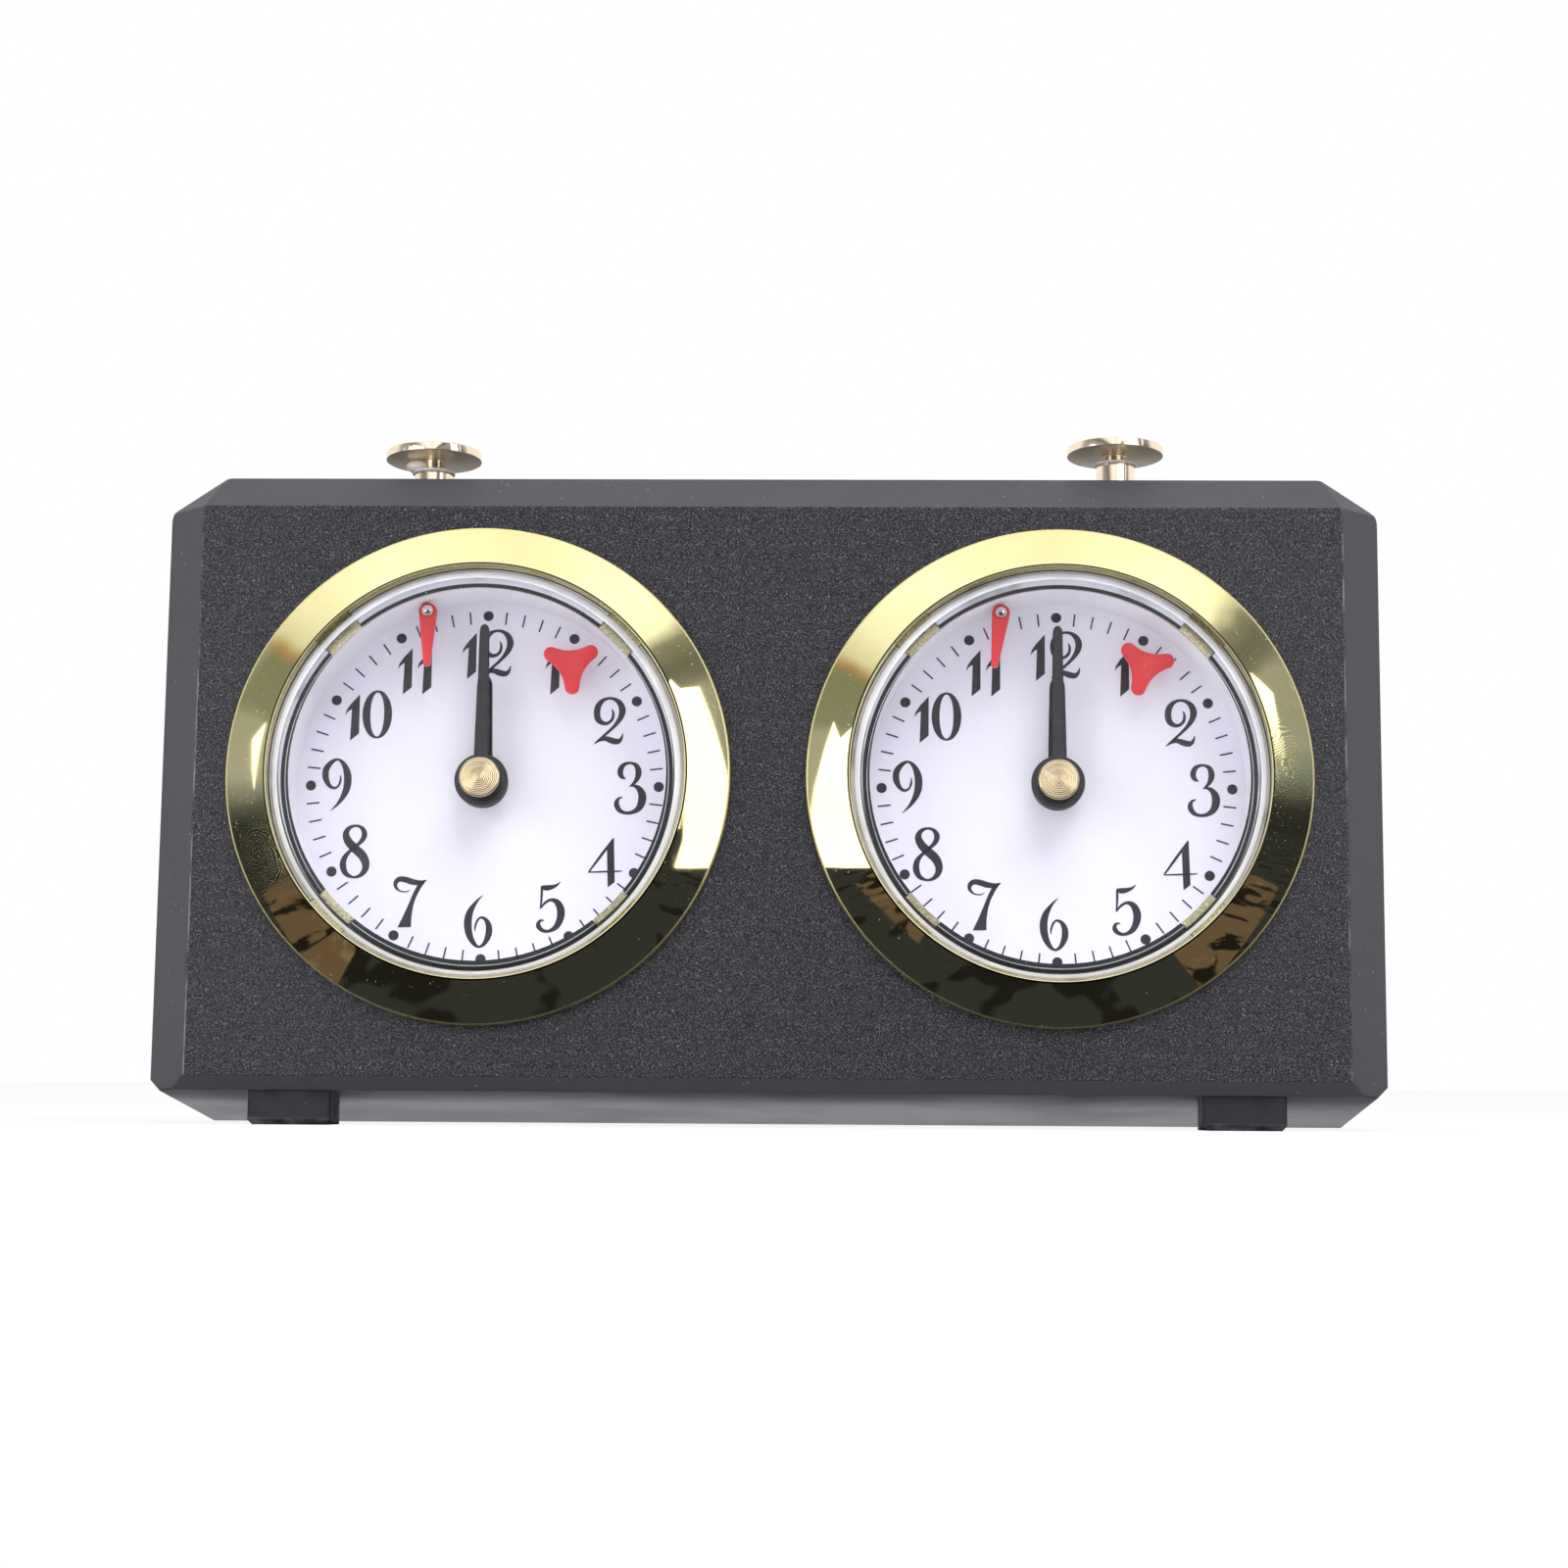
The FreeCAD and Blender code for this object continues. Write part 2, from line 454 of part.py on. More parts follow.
def make_tick(turn):
    """Three round lobes joined by a web with hollow sides, pressed on the escape arbor's front.

    Each hollow is an arc that passes the waist and meets both of its lobes smoothly.
    """
    y0, y1 = TICK_Y, TICK_Y + TICK_T
    lobe_at, spare = TICK_R - TICK_LOBE_R, TICK_WAIST - TICK_LOBE_R
    arc_at = (lobe_at ** 2 - spare ** 2) / (lobe_at - 2 * spare)
    web = disc(lobe_at + 0.3 * TICK_LOBE_R, y0, y1, TICK_AT)
    for k in range(3):
        web = web.cut(disc(arc_at - TICK_WAIST, y0 - 1, y1 + 1,
                           polar(arc_at, turn + 120 * k + 60, TICK_AT)))
    lobes = [disc(TICK_LOBE_R, y0, y1, polar(lobe_at, turn + 120 * k, TICK_AT)) for k in range(3)]
    body = fuse(web, *lobes, disc(TICK_HUB_R, y0, y1 + 0.8, TICK_AT))
    return body.cut(disc(ESCAPE_ARBOR_R, y0 + 0.3, 9, TICK_AT))


def make_button(rise):
    """Mushroom button: crowned disc, thin neck and thick stem, turned about its upright axis."""
    under = BUTTON_UNDER + rise
    shoulder, top = under - NECK_H, under + BUTTON_T
    profile = [(0, STEM_END + rise), (STEM_R - 0.6, STEM_END + rise), (STEM_R, STEM_END + rise + 0.6),
               (STEM_R, shoulder - 0.3), (STEM_R - 0.3, shoulder), (NECK_R, shoulder),
               (NECK_R, under), (BUTTON_R - 0.45, under), (BUTTON_R, under + 0.4),
               (BUTTON_R, top - 0.4), (BUTTON_R - 0.45, top), (BUTTON_R * 0.6, top + BUTTON_CROWN * 0.7),
               (0, top + BUTTON_CROWN)]
    loop = [V(r, 0, z) for r, z in profile]
    body = Part.Face(Part.makePolygon(loop + loop[:1])).revolve(V(0, 0, 0), V(0, 0, 1), 360)
    body.translate(V(0, BUTTON_Y, 0))
    return body


# ---- movement ----
def arbor_and(at, r, y0, y1, *wheels):
    """An arbor with its wheels and a collar behind each wheel."""
    return fuse(disc(r, y0, y1, at), *wheels)


def train_wheel(at, driver, driven, wheel_y, leaf_y, y0, y1, r):
    """Wheel and pinion on one arbor: the pinion meets driver, the wheel meets driven."""
    far = math.hypot(driven[0] - at[0], driven[1] - at[1])
    near = math.hypot(driver[0] - at[0], driver[1] - at[1])
    share = TRAIN_TEETH + TRAIN_LEAVES
    module, small = 2 * far / share, 2 * near / share
    wheel = gear(TRAIN_TEETH, module, wheel_y, wheel_y + WHEEL_T, toward(at, driven), WHEEL_FORM, at)
    wheel = crossed(wheel, 14 * module, 4.6 * module, 5, wheel_y, wheel_y + WHEEL_T, at)
    leaves = gear(TRAIN_LEAVES, small, leaf_y - 0.5, leaf_y - 0.5 + LEAF_L,
                  toward(at, driver) + 180 / TRAIN_LEAVES, LEAF_FORM, at)
    collar = disc(2.6 * module, wheel_y - 0.8, wheel_y + WHEEL_T + 0.8, at)
    return arbor_and(at, r, y0, y1, wheel, leaves, collar)


def make_plate(y0, shafts):
    corner, h = PLATE_CUT, PLATE_HALF
    outline = [(-h, -h + corner), (-h + corner, -h), (h - corner, -h), (h, -h + corner),
               (h, h - corner), (h - corner, h), (-h + corner, h), (-h, h - corner)]
    return cut(prism(outline, y0, y0 + PLATE_T),
               *[disc(r, y0 - 1, y0 + PLATE_T + 1, at) for at, r in shafts])


def make_pillar(at):
    """Turned pillar: tenon into the case post, body between the plates, riveted cap behind."""
    return fuse(disc(TENON_R, FRONT_PLATE_Y - 6, PLATE_BACK, at),
                disc(PILLAR_R, FRONT_PLATE_Y + PLATE_T, BACK_PLATE_Y, at),
                disc(PILLAR_CAP_R, PLATE_BACK, PLATE_BACK + PILLAR_CAP_T, at))


def make_great():
    module = 2 * math.hypot(*GREAT_AT) / (GREAT_TEETH + CENTRE_LEAVES)
    wheel = gear(GREAT_TEETH, module, GREAT_Y, GREAT_Y + 1.5, toward(GREAT_AT, (0, 0)), WHEEL_FORM,
                 GREAT_AT)
    wheel = fuse(wheel, disc(4, GREAT_Y, GREAT_Y + 2.2, GREAT_AT))
    return wheel.cut(disc(WINDING_ARBOR_R + RUNNING, 0, 40, GREAT_AT))


def make_centre():
    """Centre wheel and pinion on a sleeve that slips on the hand arbor when the hands are set."""
    module = 2 * math.hypot(*THIRD_AT) / (TRAIN_TEETH + TRAIN_LEAVES)
    small = 2 * math.hypot(*GREAT_AT) / (GREAT_TEETH + CENTRE_LEAVES)
    wheel = gear(TRAIN_TEETH, module, CENTRE_Y, CENTRE_Y + WHEEL_T, toward((0, 0), THIRD_AT),
                 WHEEL_FORM)
    wheel = crossed(wheel, 9.5, 3.0, 5, CENTRE_Y, CENTRE_Y + WHEEL_T, (0, 0))
    leaves = gear(CENTRE_LEAVES, small, GREAT_Y - 0.3, GREAT_Y + 1.8,
                  toward((0, 0), GREAT_AT) + 180 / CENTRE_LEAVES, LEAF_FORM)
    body = fuse(wheel, leaves, disc(SLEEVE_R, GREAT_Y - 0.5, CENTRE_Y + WHEEL_T + 0.6))
    return body.cut(disc(CENTRE_ARBOR_R + RUNNING, 0, 50))


def make_escape():
    near = math.hypot(FOURTH_AT[0] - TICK_AT[0], FOURTH_AT[1] - TICK_AT[1])
    small = 2 * near / (TRAIN_TEETH + TRAIN_LEAVES)
    leaves = gear(TRAIN_LEAVES, small, FOURTH_Y - 0.5, FOURTH_Y - 0.5 + LEAF_L,
                  toward(TICK_AT, FOURTH_AT) + 180 / TRAIN_LEAVES, LEAF_FORM, TICK_AT)
    wheel = saw(ESCAPE_TEETH, ESCAPE_R, 1.6, ESCAPE_Y, ESCAPE_Y + WHEEL_T, TICK_AT)
    wheel = crossed(wheel, 3.4, 1.0, 5, ESCAPE_Y, ESCAPE_Y + WHEEL_T, TICK_AT)
    return arbor_and(TICK_AT, ESCAPE_ARBOR_R, TICK_Y + 0.3, PLATE_BACK, wheel, leaves)


def make_pallets():
    """Anchor that straddles the escape wheel, with a fork toward the balance."""
    to_escape = toward(TICK_AT, PALLET_AT)
    tips = [polar(ESCAPE_R + PALLET_CLEAR + 0.4, to_escape + side, TICK_AT) for side in (-38, 38)]
    y0, y1 = ESCAPE_Y, ESCAPE_Y + WHEEL_T
    arms = [bar(PALLET_AT, tip, 0.45, y0, y1) for tip in tips]
    gap = math.hypot(BALANCE_AT[0] - PALLET_AT[0], BALANCE_AT[1] - PALLET_AT[1]) - 2.6
    tail = bar(PALLET_AT, polar(gap, toward(PALLET_AT, BALANCE_AT), PALLET_AT), 0.5, y0, y1)
    return arbor_and(PALLET_AT, ARBOR_R, FRONT_PLATE_Y, PLATE_BACK, *arms, tail)


def make_balance():
    x, z = BALANCE_AT
    y0, y1 = BALANCE_Y, BALANCE_Y + BALANCE_T
    rim = ring(BALANCE_R, BALANCE_R - BALANCE_RIM, y0, y1, BALANCE_AT)
    arm = block(x - BALANCE_R + 0.4, x + BALANCE_R - 0.4, y0 + 0.3, y1 - 0.3, z - 0.6, z + 0.6)
    roller = disc(1.6, ESCAPE_Y - 0.2, ESCAPE_Y + 1.2, BALANCE_AT)
    return arbor_and(BALANCE_AT, ARBOR_R, FRONT_PLATE_Y, PLATE_BACK, rim, arm, roller)


def make_brake():
    """Arbor with a front arm under the rocker's pin and a finger above the balance rim."""
    arm_end = (BRAKE_AT[0] - BRAKE_REACH, BRAKE_PIN_Z - DIAL_Z - BRAKE_PIN_R - 0.75 - 0.2)
    finger_end = (BALANCE_AT[0], BALANCE_AT[1] + BALANCE_R + 3.6)
    return arbor_and(BRAKE_AT, ARBOR_R, BRAKE_ARM_Y, PLATE_BACK,
                     bar(BRAKE_AT, arm_end, 0.75, BRAKE_ARM_Y, BRAKE_ARM_Y + BRAKE_T),
                     bar(BRAKE_AT, finger_end, 0.7, BRAKE_FINGER_Y, BRAKE_FINGER_Y + BRAKE_T))


def make_motion():
    """Minute wheel: a 36 tooth wheel behind a 10 leaf pinion, loose on a stud of the plate."""
    d = math.hypot(*MOTION_AT)
    module, small = 2 * d / (CANNON_TEETH + MINUTE_TEETH), 2 * d / (MINUTE_LEAVES + HOUR_TEETH)
    back_to = toward(MOTION_AT, (0, 0))
    wheel = gear(MINUTE_TEETH, module, MOTION_BACK, MOTION_BACK + WHEEL_T, back_to, WHEEL_FORM,
                 MOTION_AT)
    leaves = gear(MINUTE_LEAVES, small, MOTION_FRONT, MOTION_BACK, back_to + 180 / MINUTE_LEAVES,
                  LEAF_FORM, MOTION_AT)
    return fuse(wheel, leaves).cut(disc(0.8 + RUNNING, 0, 20, MOTION_AT))


def make_hour_wheel():
    small = 2 * math.hypot(*MOTION_AT) / (MINUTE_LEAVES + HOUR_TEETH)
    wheel = gear(HOUR_TEETH, small, MOTION_FRONT, MOTION_FRONT + WHEEL_T, toward((0, 0), MOTION_AT),
                 WHEEL_FORM)
    pipe = disc(PIPE_R, HOUR_Y - 0.2, MOTION_FRONT + WHEEL_T)
    return fuse(wheel, pipe).cut(disc(PIPE_BORE, 0, 20))


def make_hand_arbor():
    """Centre arbor: hand seat at the front, cannon pinion, and the fluted setting knob behind."""
    module = 2 * math.hypot(*MOTION_AT) / (CANNON_TEETH + MINUTE_TEETH)
    cannon = gear(CANNON_TEETH, module, MOTION_BACK - 0.2, MOTION_BACK + 1.2,
                  toward((0, 0), MOTION_AT) + 180 / CANNON_TEETH, LEAF_FORM)
    knob = turned([(0, KNOB_Y0), (KNOB_R - 0.5, KNOB_Y0), (KNOB_R, KNOB_Y0 + 0.5),
                   (KNOB_R, KNOB_Y1 - 0.8), (KNOB_R - 0.8, KNOB_Y1), (0, KNOB_Y1)])
    flutes = [disc(0.45, KNOB_Y0 - 1, KNOB_Y1 + 1, polar(KNOB_R + 0.1, 360 / KNOB_FLUTES * k))
              for k in range(KNOB_FLUTES)]
    knob = knob.cut(Part.makeCompound(flutes))
    return fuse(disc(CENTRE_ARBOR_R, CAP_FRONT + 1.2, KNOB_Y0 + 1), cannon, knob)


def make_cap():
    body = turned([(0, CAP_FRONT), (CAP_R - 0.35, CAP_FRONT), (CAP_R, CAP_FRONT + 0.35),
                   (CAP_R, MINUTE_Y), (0, MINUTE_Y)])
    return body.cut(disc(CENTRE_ARBOR_R, CAP_FRONT + 1.2, 9))


def make_winding():
    ratchet = saw(RATCHET_TEETH, RATCHET_R, 0.9, RATCHET_Y, RATCHET_Y + RATCHET_T, GREAT_AT)
    return arbor_and(GREAT_AT, WINDING_ARBOR_R, FRONT_PLATE_Y, KEY_HUB_Y1 - 0.5, ratchet)


def make_key():
    """Butterfly key: a hub pressed on the winding arbor and two pierced wings."""
    x, z = GREAT_AT
    wings = block(x - KEY_HALF, x + KEY_HALF, KEY_Y0 + 1, KEY_Y1, z - KEY_T / 2, z + KEY_T / 2)
    rear = [e for e in wings.Edges
            if min(v.Y for v in e.Vertexes) > KEY_Y1 - 0.1 and abs(e.Vertexes[0].X - x) > 1
            and abs(e.Vertexes[0].X - e.Vertexes[-1].X) < 0.1]
    wings = wings.makeFillet(3.0, rear)
    for s in (-1, 1):
        hole = Part.makeCylinder(1.6, 10, V(x + s * 5.0, KEY_Y1 - 4.2, z - 5), V(0, 0, 1))
        wings = wings.cut(hole)
    hub = disc(KEY_HUB_R, KEY_Y0, KEY_HUB_Y1, GREAT_AT)
    return fuse(hub, wings).cut(disc(WINDING_ARBOR_R, 0, KEY_HUB_Y1 - 0.5, GREAT_AT))


def make_click():
    """Pawl on a stud of the back plate, its tip just clear of the ratchet."""
    at = (GREAT_AT[0] + CLICK_AT[0], GREAT_AT[1] + CLICK_AT[1])
    tip = polar(RATCHET_R + 0.75, toward(GREAT_AT, at) - 38, GREAT_AT)
    body = fuse(bar(at, tip, 0.55, RATCHET_Y, RATCHET_Y + RATCHET_T),
                disc(1.9, RATCHET_Y, RATCHET_Y + RATCHET_T, at))
    return body.cut(disc(1.0 + RUNNING, 30, 45, at))


def brake_turn(x):
    """How far a brake lever follows the rocker's rest tilt, for a dial centred at x."""
    lift = REST_RISE * (x + BRAKE_AT[0] - BRAKE_REACH) / BUTTON_X
    return -math.degrees(math.asin(lift / BRAKE_REACH))


brake = make_brake()
groups = {name: [] for name in ("front_plates", "back_plates", "pillars", "crystal_gaskets",
                                "flag_pins", "mainsprings", "hairsprings")}
shaft = {"great": (GREAT_AT, WINDING_ARBOR_R + RUNNING), "third": (THIRD_AT, ARBOR_R + RUNNING),
         "fourth": (FOURTH_AT, ARBOR_R + RUNNING), "tick": (TICK_AT, ESCAPE_ARBOR_R + RUNNING),
         "pallet": (PALLET_AT, ARBOR_R + RUNNING), "balance": (BALANCE_AT, ARBOR_R + RUNNING),
         "brake": (BRAKE_AT, ARBOR_R + RUNNING), "centre": ((0, 0), CENTRE_ARBOR_R + RUNNING)}
tenons = [(at, TENON_R) for at in POST_AT]
click_stud = (GREAT_AT[0] + CLICK_AT[0], GREAT_AT[1] + CLICK_AT[1])
front_plate = fuse(make_plate(FRONT_PLATE_Y, list(shaft.values()) + tenons
                              + [(FLAG_AT, FLAG_PIN_R)]),
                   disc(0.8, MOTION_FRONT, FRONT_PLATE_Y, MOTION_AT))
back_plate = fuse(make_plate(BACK_PLATE_Y, list(shaft.values()) + tenons),
                  disc(1.0, PLATE_BACK, RATCHET_Y + RATCHET_T, click_stud))

PIECES = {
    "bezel": make_bezel(),
    "crystal": make_crystal(),
    "dial_cup": make_cup(),
    "dial": make_dial(),
    "hour_hand": hand(HOUR_LEN, HOUR_ROOT, HOUR_TIP, HOUR_HUB_R, HOUR_Y, HOUR_Y + HOUR_T, PIPE_R),
    "minute_hand": hand(MINUTE_LEN, MINUTE_ROOT, MINUTE_TIP, HUB_R, MINUTE_Y, MINUTE_Y + MINUTE_T,
                        CENTRE_ARBOR_R),
    "hand_cap": make_cap(),
    "hand_arbor": make_hand_arbor(),
    "hour_wheel": make_hour_wheel(),
    "minute_wheel": make_motion(),
    "great_wheel": make_great(),
    "centre_wheel": make_centre(),
    "third_wheel": train_wheel(THIRD_AT, (0, 0), FOURTH_AT, THIRD_Y, CENTRE_Y, FRONT_PLATE_Y,
                               PLATE_BACK, ARBOR_R),
    "fourth_wheel": train_wheel(FOURTH_AT, THIRD_AT, TICK_AT, FOURTH_Y, THIRD_Y, FRONT_PLATE_Y,
                                PLATE_BACK, ARBOR_R),
    "escape_wheel": make_escape(),
    "pallet_lever": make_pallets(),
    "balance_wheel": make_balance(),
    "winding_arbor": make_winding(),
    "winding_key": make_key(),
    "click": make_click(),
}
SHARED = {
    "front_plates": [front_plate],
    "back_plates": [back_plate],
    "pillars": [make_pillar(at) for at in POST_AT],
    "crystal_gaskets": make_gasket().Solids,
    "flag_pins": [flag_pin()],
    "mainsprings": [spiral(SPRING_IN, SPRING_OUT, SPRING_TURNS, SPRING_T, SPRING_Y0, SPRING_Y1,
                           GREAT_AT, 0)],
    "hairsprings": [spiral(HAIR_IN, HAIR_OUT, HAIR_TURNS, HAIR_T, HAIR_Y0, HAIR_Y1, BALANCE_AT,
                           90)],
}
for side, s in SIDES.items():
    x, z = s * DIAL_X, DIAL_Z
    for name, shape in PIECES.items():
        export(side + "_" + name, moved(shape, x, z))
    export(side + "_flag", moved(make_flag(FLAG_HANG[s]), x, z))
    export(side + "_tick_indicator", moved(make_tick(TICK_TURN[s]), x, z))
    export(side + "_button", make_button(s * REST_RISE).translated(V(s * BUTTON_X, 0, 0)))
    export(side + "_brake_lever", moved(spin(brake, brake_turn(x), BRAKE_AT), x, z))
    for name, shapes in SHARED.items():
        groups[name] += [moved(shape, x, z) for shape in shapes]
for name, shapes in groups.items():
    export(name, *shapes)
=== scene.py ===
import json
import math

import bmesh
import bpy
import numpy as np
from mathutils import Matrix


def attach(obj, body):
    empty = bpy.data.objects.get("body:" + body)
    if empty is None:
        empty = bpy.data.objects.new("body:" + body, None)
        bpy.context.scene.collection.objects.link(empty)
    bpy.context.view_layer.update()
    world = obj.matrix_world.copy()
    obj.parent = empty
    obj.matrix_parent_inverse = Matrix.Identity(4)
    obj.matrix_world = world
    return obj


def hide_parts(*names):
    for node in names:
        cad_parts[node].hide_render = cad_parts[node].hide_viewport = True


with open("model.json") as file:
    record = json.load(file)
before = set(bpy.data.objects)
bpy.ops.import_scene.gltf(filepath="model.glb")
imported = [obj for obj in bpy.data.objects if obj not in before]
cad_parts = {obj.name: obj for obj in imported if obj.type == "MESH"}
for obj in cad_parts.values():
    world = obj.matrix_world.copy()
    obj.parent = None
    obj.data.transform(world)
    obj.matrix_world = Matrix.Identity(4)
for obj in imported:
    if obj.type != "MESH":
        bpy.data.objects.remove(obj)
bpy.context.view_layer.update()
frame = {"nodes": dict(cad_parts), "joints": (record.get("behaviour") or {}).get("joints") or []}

# --- Stance and camera. The clock leans back on two front feet and its rear lower edge, so every
# piece is worked out upright, in millimetres, and then leaned onto the table.
FOOT_Y, FOOT_DROP, FOOT_SPAN = 2.5, 5.2, 49.9
LEAN = math.atan(FOOT_DROP / FOOT_SPAN)
DIAL_X, DIAL_Z, MINUTE_Y = 44.34, 48.2, 4.08
SIDES = {"left": -1, "right": 1}


def tip_back(points):
    """Turn about the foot line by the lean, so y and z mix as its cosine and sine."""
    points = np.asarray(points, float)
    y, z = points[..., 1] - FOOT_Y, points[..., 2] + FOOT_DROP
    return np.stack([points[..., 0], FOOT_Y + y * math.cos(LEAN) + z * math.sin(LEAN),
                     z * math.cos(LEAN) - y * math.sin(LEAN)], -1)


hand_pivot = next(j for j in frame["joints"] if j["name"] == "left_minute_turn")["pos_m"]
SHIFT = hand_pivot[1] * 1000 - tip_back([-DIAL_X, MINUTE_Y, DIAL_Z])[1]


def on_table(points):
    """Upright millimetres to leaned metres: tip back, then slide to the frame's origin."""
    return (tip_back(points) + [0, SHIFT, 0]) / 1000


def upright_place(point):
    """Where an upright point in millimetres lies once Object coordinates are turned upright."""
    x, y, z = on_table(point)
    return (x, y * math.cos(LEAN) - z * math.sin(LEAN), y * math.sin(LEAN) + z * math.cos(LEAN))


scene = bpy.context.scene
scene.view_settings.view_transform = "Standard"
eye = bpy.data.cameras.new("eye")
eye.lens, eye.sensor_width = 87.71, 36.0
eye.clip_start, eye.clip_end = 0.05, 20
camera = bpy.data.objects.new("eye", eye)
scene.collection.objects.link(camera)
# the columns are the eye's right, up and backward directions, and its place in metres
camera.matrix_world = Matrix(((0.9995994, -0.0042813, 0.0279768, 0.018717),
                              (0.0275582, -0.0779670, -0.9965750, -0.6047735),
                              (0.0064479, 0.9969468, -0.0778178, 0.0068724),
                              (0, 0, 0, 1)))
scene.camera = camera

# --- Table and light. A white table under soft overhead light. What polished metal mirrors is a
# light tent: pale above, white panels at the sides, and close in front a table top that
# reflections alone see as a painted reflection, dark near the clock.


def wire(tree, socket, value):
    """Link an output socket to an input, or set the input's own value."""
    if isinstance(value, bpy.types.NodeSocket):
        tree.links.new(value, socket)
    else:
        socket.default_value = value


def node(tree, kind, *links, **settings):
    """Add a node, set its fields and wire links of (input, value or output socket)."""
    made = tree.nodes.new("ShaderNode" + kind)
    for field, value in settings.items():
        setattr(made, field, value)
    for socket, value in links:
        wire(tree, made.inputs[socket], value)
    return made


def calc(tree, sign, *values):
    """A Math node's result, from an arithmetic sign or the name of an operation."""
    name = {"*": "MULTIPLY", "+": "ADD", "-": "SUBTRACT", "/": "DIVIDE"}.get(sign, sign)
    return node(tree, "Math", *enumerate(values), operation=name).outputs[0]


def span(tree, value, low, high, to_low=0.0, to_high=1.0):
    """Straight line from to_low at low to to_high at high, held level outside."""
    return node(tree, "MapRange", ("Value", value), ("From Min", low), ("From Max", high),
                ("To Min", to_low), ("To Max", to_high)).outputs[0]


def mixed(tree, factor, a, b):
    """Colour mix of a toward b by factor."""
    made = node(tree, "Mix", (0, factor), data_type="RGBA")
    for socket, value in zip([s for s in made.inputs if s.type == "RGBA"], (a, b)):
        wire(tree, socket, value if isinstance(value, bpy.types.NodeSocket) else (*value, 1))
    return [s for s in made.outputs if s.type == "RGBA"][0]


def noise(tree, place, scale, detail=2.0, *more):
    """A Noise texture's value at a place, with scale as how many changes there are in a metre."""
    return node(tree, "TexNoise", ("Vector", place), ("Scale", scale), ("Detail", detail),
                *more).outputs[0]


def own_place(tree):
    """Object coordinates, in metres."""
    return node(tree, "TexCoord").outputs["Object"]


GLEAM = 2.1                                 # how bright white looks in polished metal
room = bpy.data.worlds.new("light_tent")
room.use_nodes = True
scene.world = room
tree = room.node_tree
tree.nodes.clear()
direction = node(tree, "TexCoord").outputs["Generated"]
axes = node(tree, "SeparateXYZ", (0, direction)).outputs
wobble = noise(tree, direction, 3.0, 3.0)
turn = calc(tree, "/", calc(tree, "ARCTAN2", axes["X"], axes["Z"]), 2 * math.pi)
turn = calc(tree, "+", turn, span(tree, wobble, 0.0, 1.0, 0.985, 1.015))
walls = node(tree, "ValToRGB", (0, calc(tree, "FRACT", turn)))
# clockwise angle from straight up, as seen from the front, then the wall's red, green and blue
TENT = [(0, (0.50, 0.50, 0.50)), (24, (0.60, 0.62, 0.66)), (36, (0.55, 0.56, 0.58)),
        (41, (0.12, 0.12, 0.12)), (46, (0.07, 0.075, 0.08)), (50, (0.09, 0.09, 0.10)),
        (53, (0.17, 0.17, 0.19)), (70, (0.14, 0.15, 0.17)), (76, (0.10, 0.12, 0.15)),
        (84, (0.015, 0.016, 0.02)), (90, (0.01, 0.011, 0.015)), (180, (0.012, 0.014, 0.018)),
        (270, (0.012, 0.014, 0.018)), (274, (0.05, 0.055, 0.06)), (280, (0.17, 0.18, 0.22)),
        (284, (0.19, 0.19, 0.21)), (294, (0.17, 0.18, 0.20)), (296, (0.11, 0.12, 0.11)),
        (307, (0.10, 0.11, 0.10)), (309, (0.20, 0.12, 0.08)), (312, (0.34, 0.34, 0.33)),
        (320, (0.46, 0.47, 0.50)), (336, (0.58, 0.60, 0.64)), (360, (0.50, 0.50, 0.50))]
stops = walls.color_ramp.elements
for k, (angle, colour) in enumerate(TENT):
    stop = stops[k] if k < 2 else stops.new(angle / 360)
    stop.position, stop.color = angle / 360, (*colour, 1)
walls = node(tree, "VectorMath", (0, walls.outputs[0]), (1, (GLEAM,) * 3),
             operation="MULTIPLY").outputs[0]
behind = span(tree, axes["Y"], -0.15, 0.1)
rays = node(tree, "LightPath").outputs
plain = node(tree, "Background", ("Color", (0.93, 0.94, 1.0, 1)), ("Strength", 0.74)).outputs[0]
mirror = node(tree, "Background", ("Color", mixed(tree, behind, walls, (1, 1, 1)))).outputs[0]
white = node(tree, "Background", ("Color", (1, 1, 1, 1))).outputs[0]
lit = node(tree, "MixShader", (0, rays["Is Glossy Ray"]), (1, plain), (2, mirror)).outputs[0]
clear = calc(tree, "MAXIMUM", rays["Is Camera Ray"], rays["Is Transmission Ray"])
lit = node(tree, "MixShader", (0, clear), (1, lit), (2, white)).outputs[0]
node(tree, "OutputWorld", ("Surface", lit))

for name, place, size, power in (("top_panel", (0.2, -0.35, 0.8), 0.6, 6.2),
                                 ("side_panel", (-0.65, -0.5, 0.3), 0.5, 1.7)):
    lamp = bpy.data.lights.new(name, "AREA")
    lamp.size, lamp.energy = size, power
    holder = bpy.data.objects.new(name, lamp)
    scene.collection.objects.link(holder)
    away = np.array(place) - (0, 0, 0.05)
    away /= np.linalg.norm(away)
    right = np.cross([0, 0, 1], away)
    right /= np.linalg.norm(right)
    facing = np.array([right, np.cross(away, right), away]).T
    holder.matrix_world = Matrix([[*row, p] for row, p in zip(facing, place)] + [[0, 0, 0, 1]])
    holder.visible_glossy = False


def stage_sheet(name, corners):
    """A flat sheet that belongs to the room, not to the clock."""
    mesh = bpy.data.meshes.new(name)
    mesh.from_pydata(corners, [], [range(len(corners))])
    sheet = bpy.data.objects.new(name, mesh)
    scene.collection.objects.link(sheet)
    material = bpy.data.materials.new(name)
    material.use_nodes = True
    material.node_tree.nodes.clear()
    mesh.materials.append(material)
    return sheet, material.node_tree


def only_mirrored(sheet):
    """Let nothing but reflections see a sheet."""
    sheet.visible_camera = sheet.visible_diffuse = False
    sheet.visible_transmission = sheet.visible_shadow = False


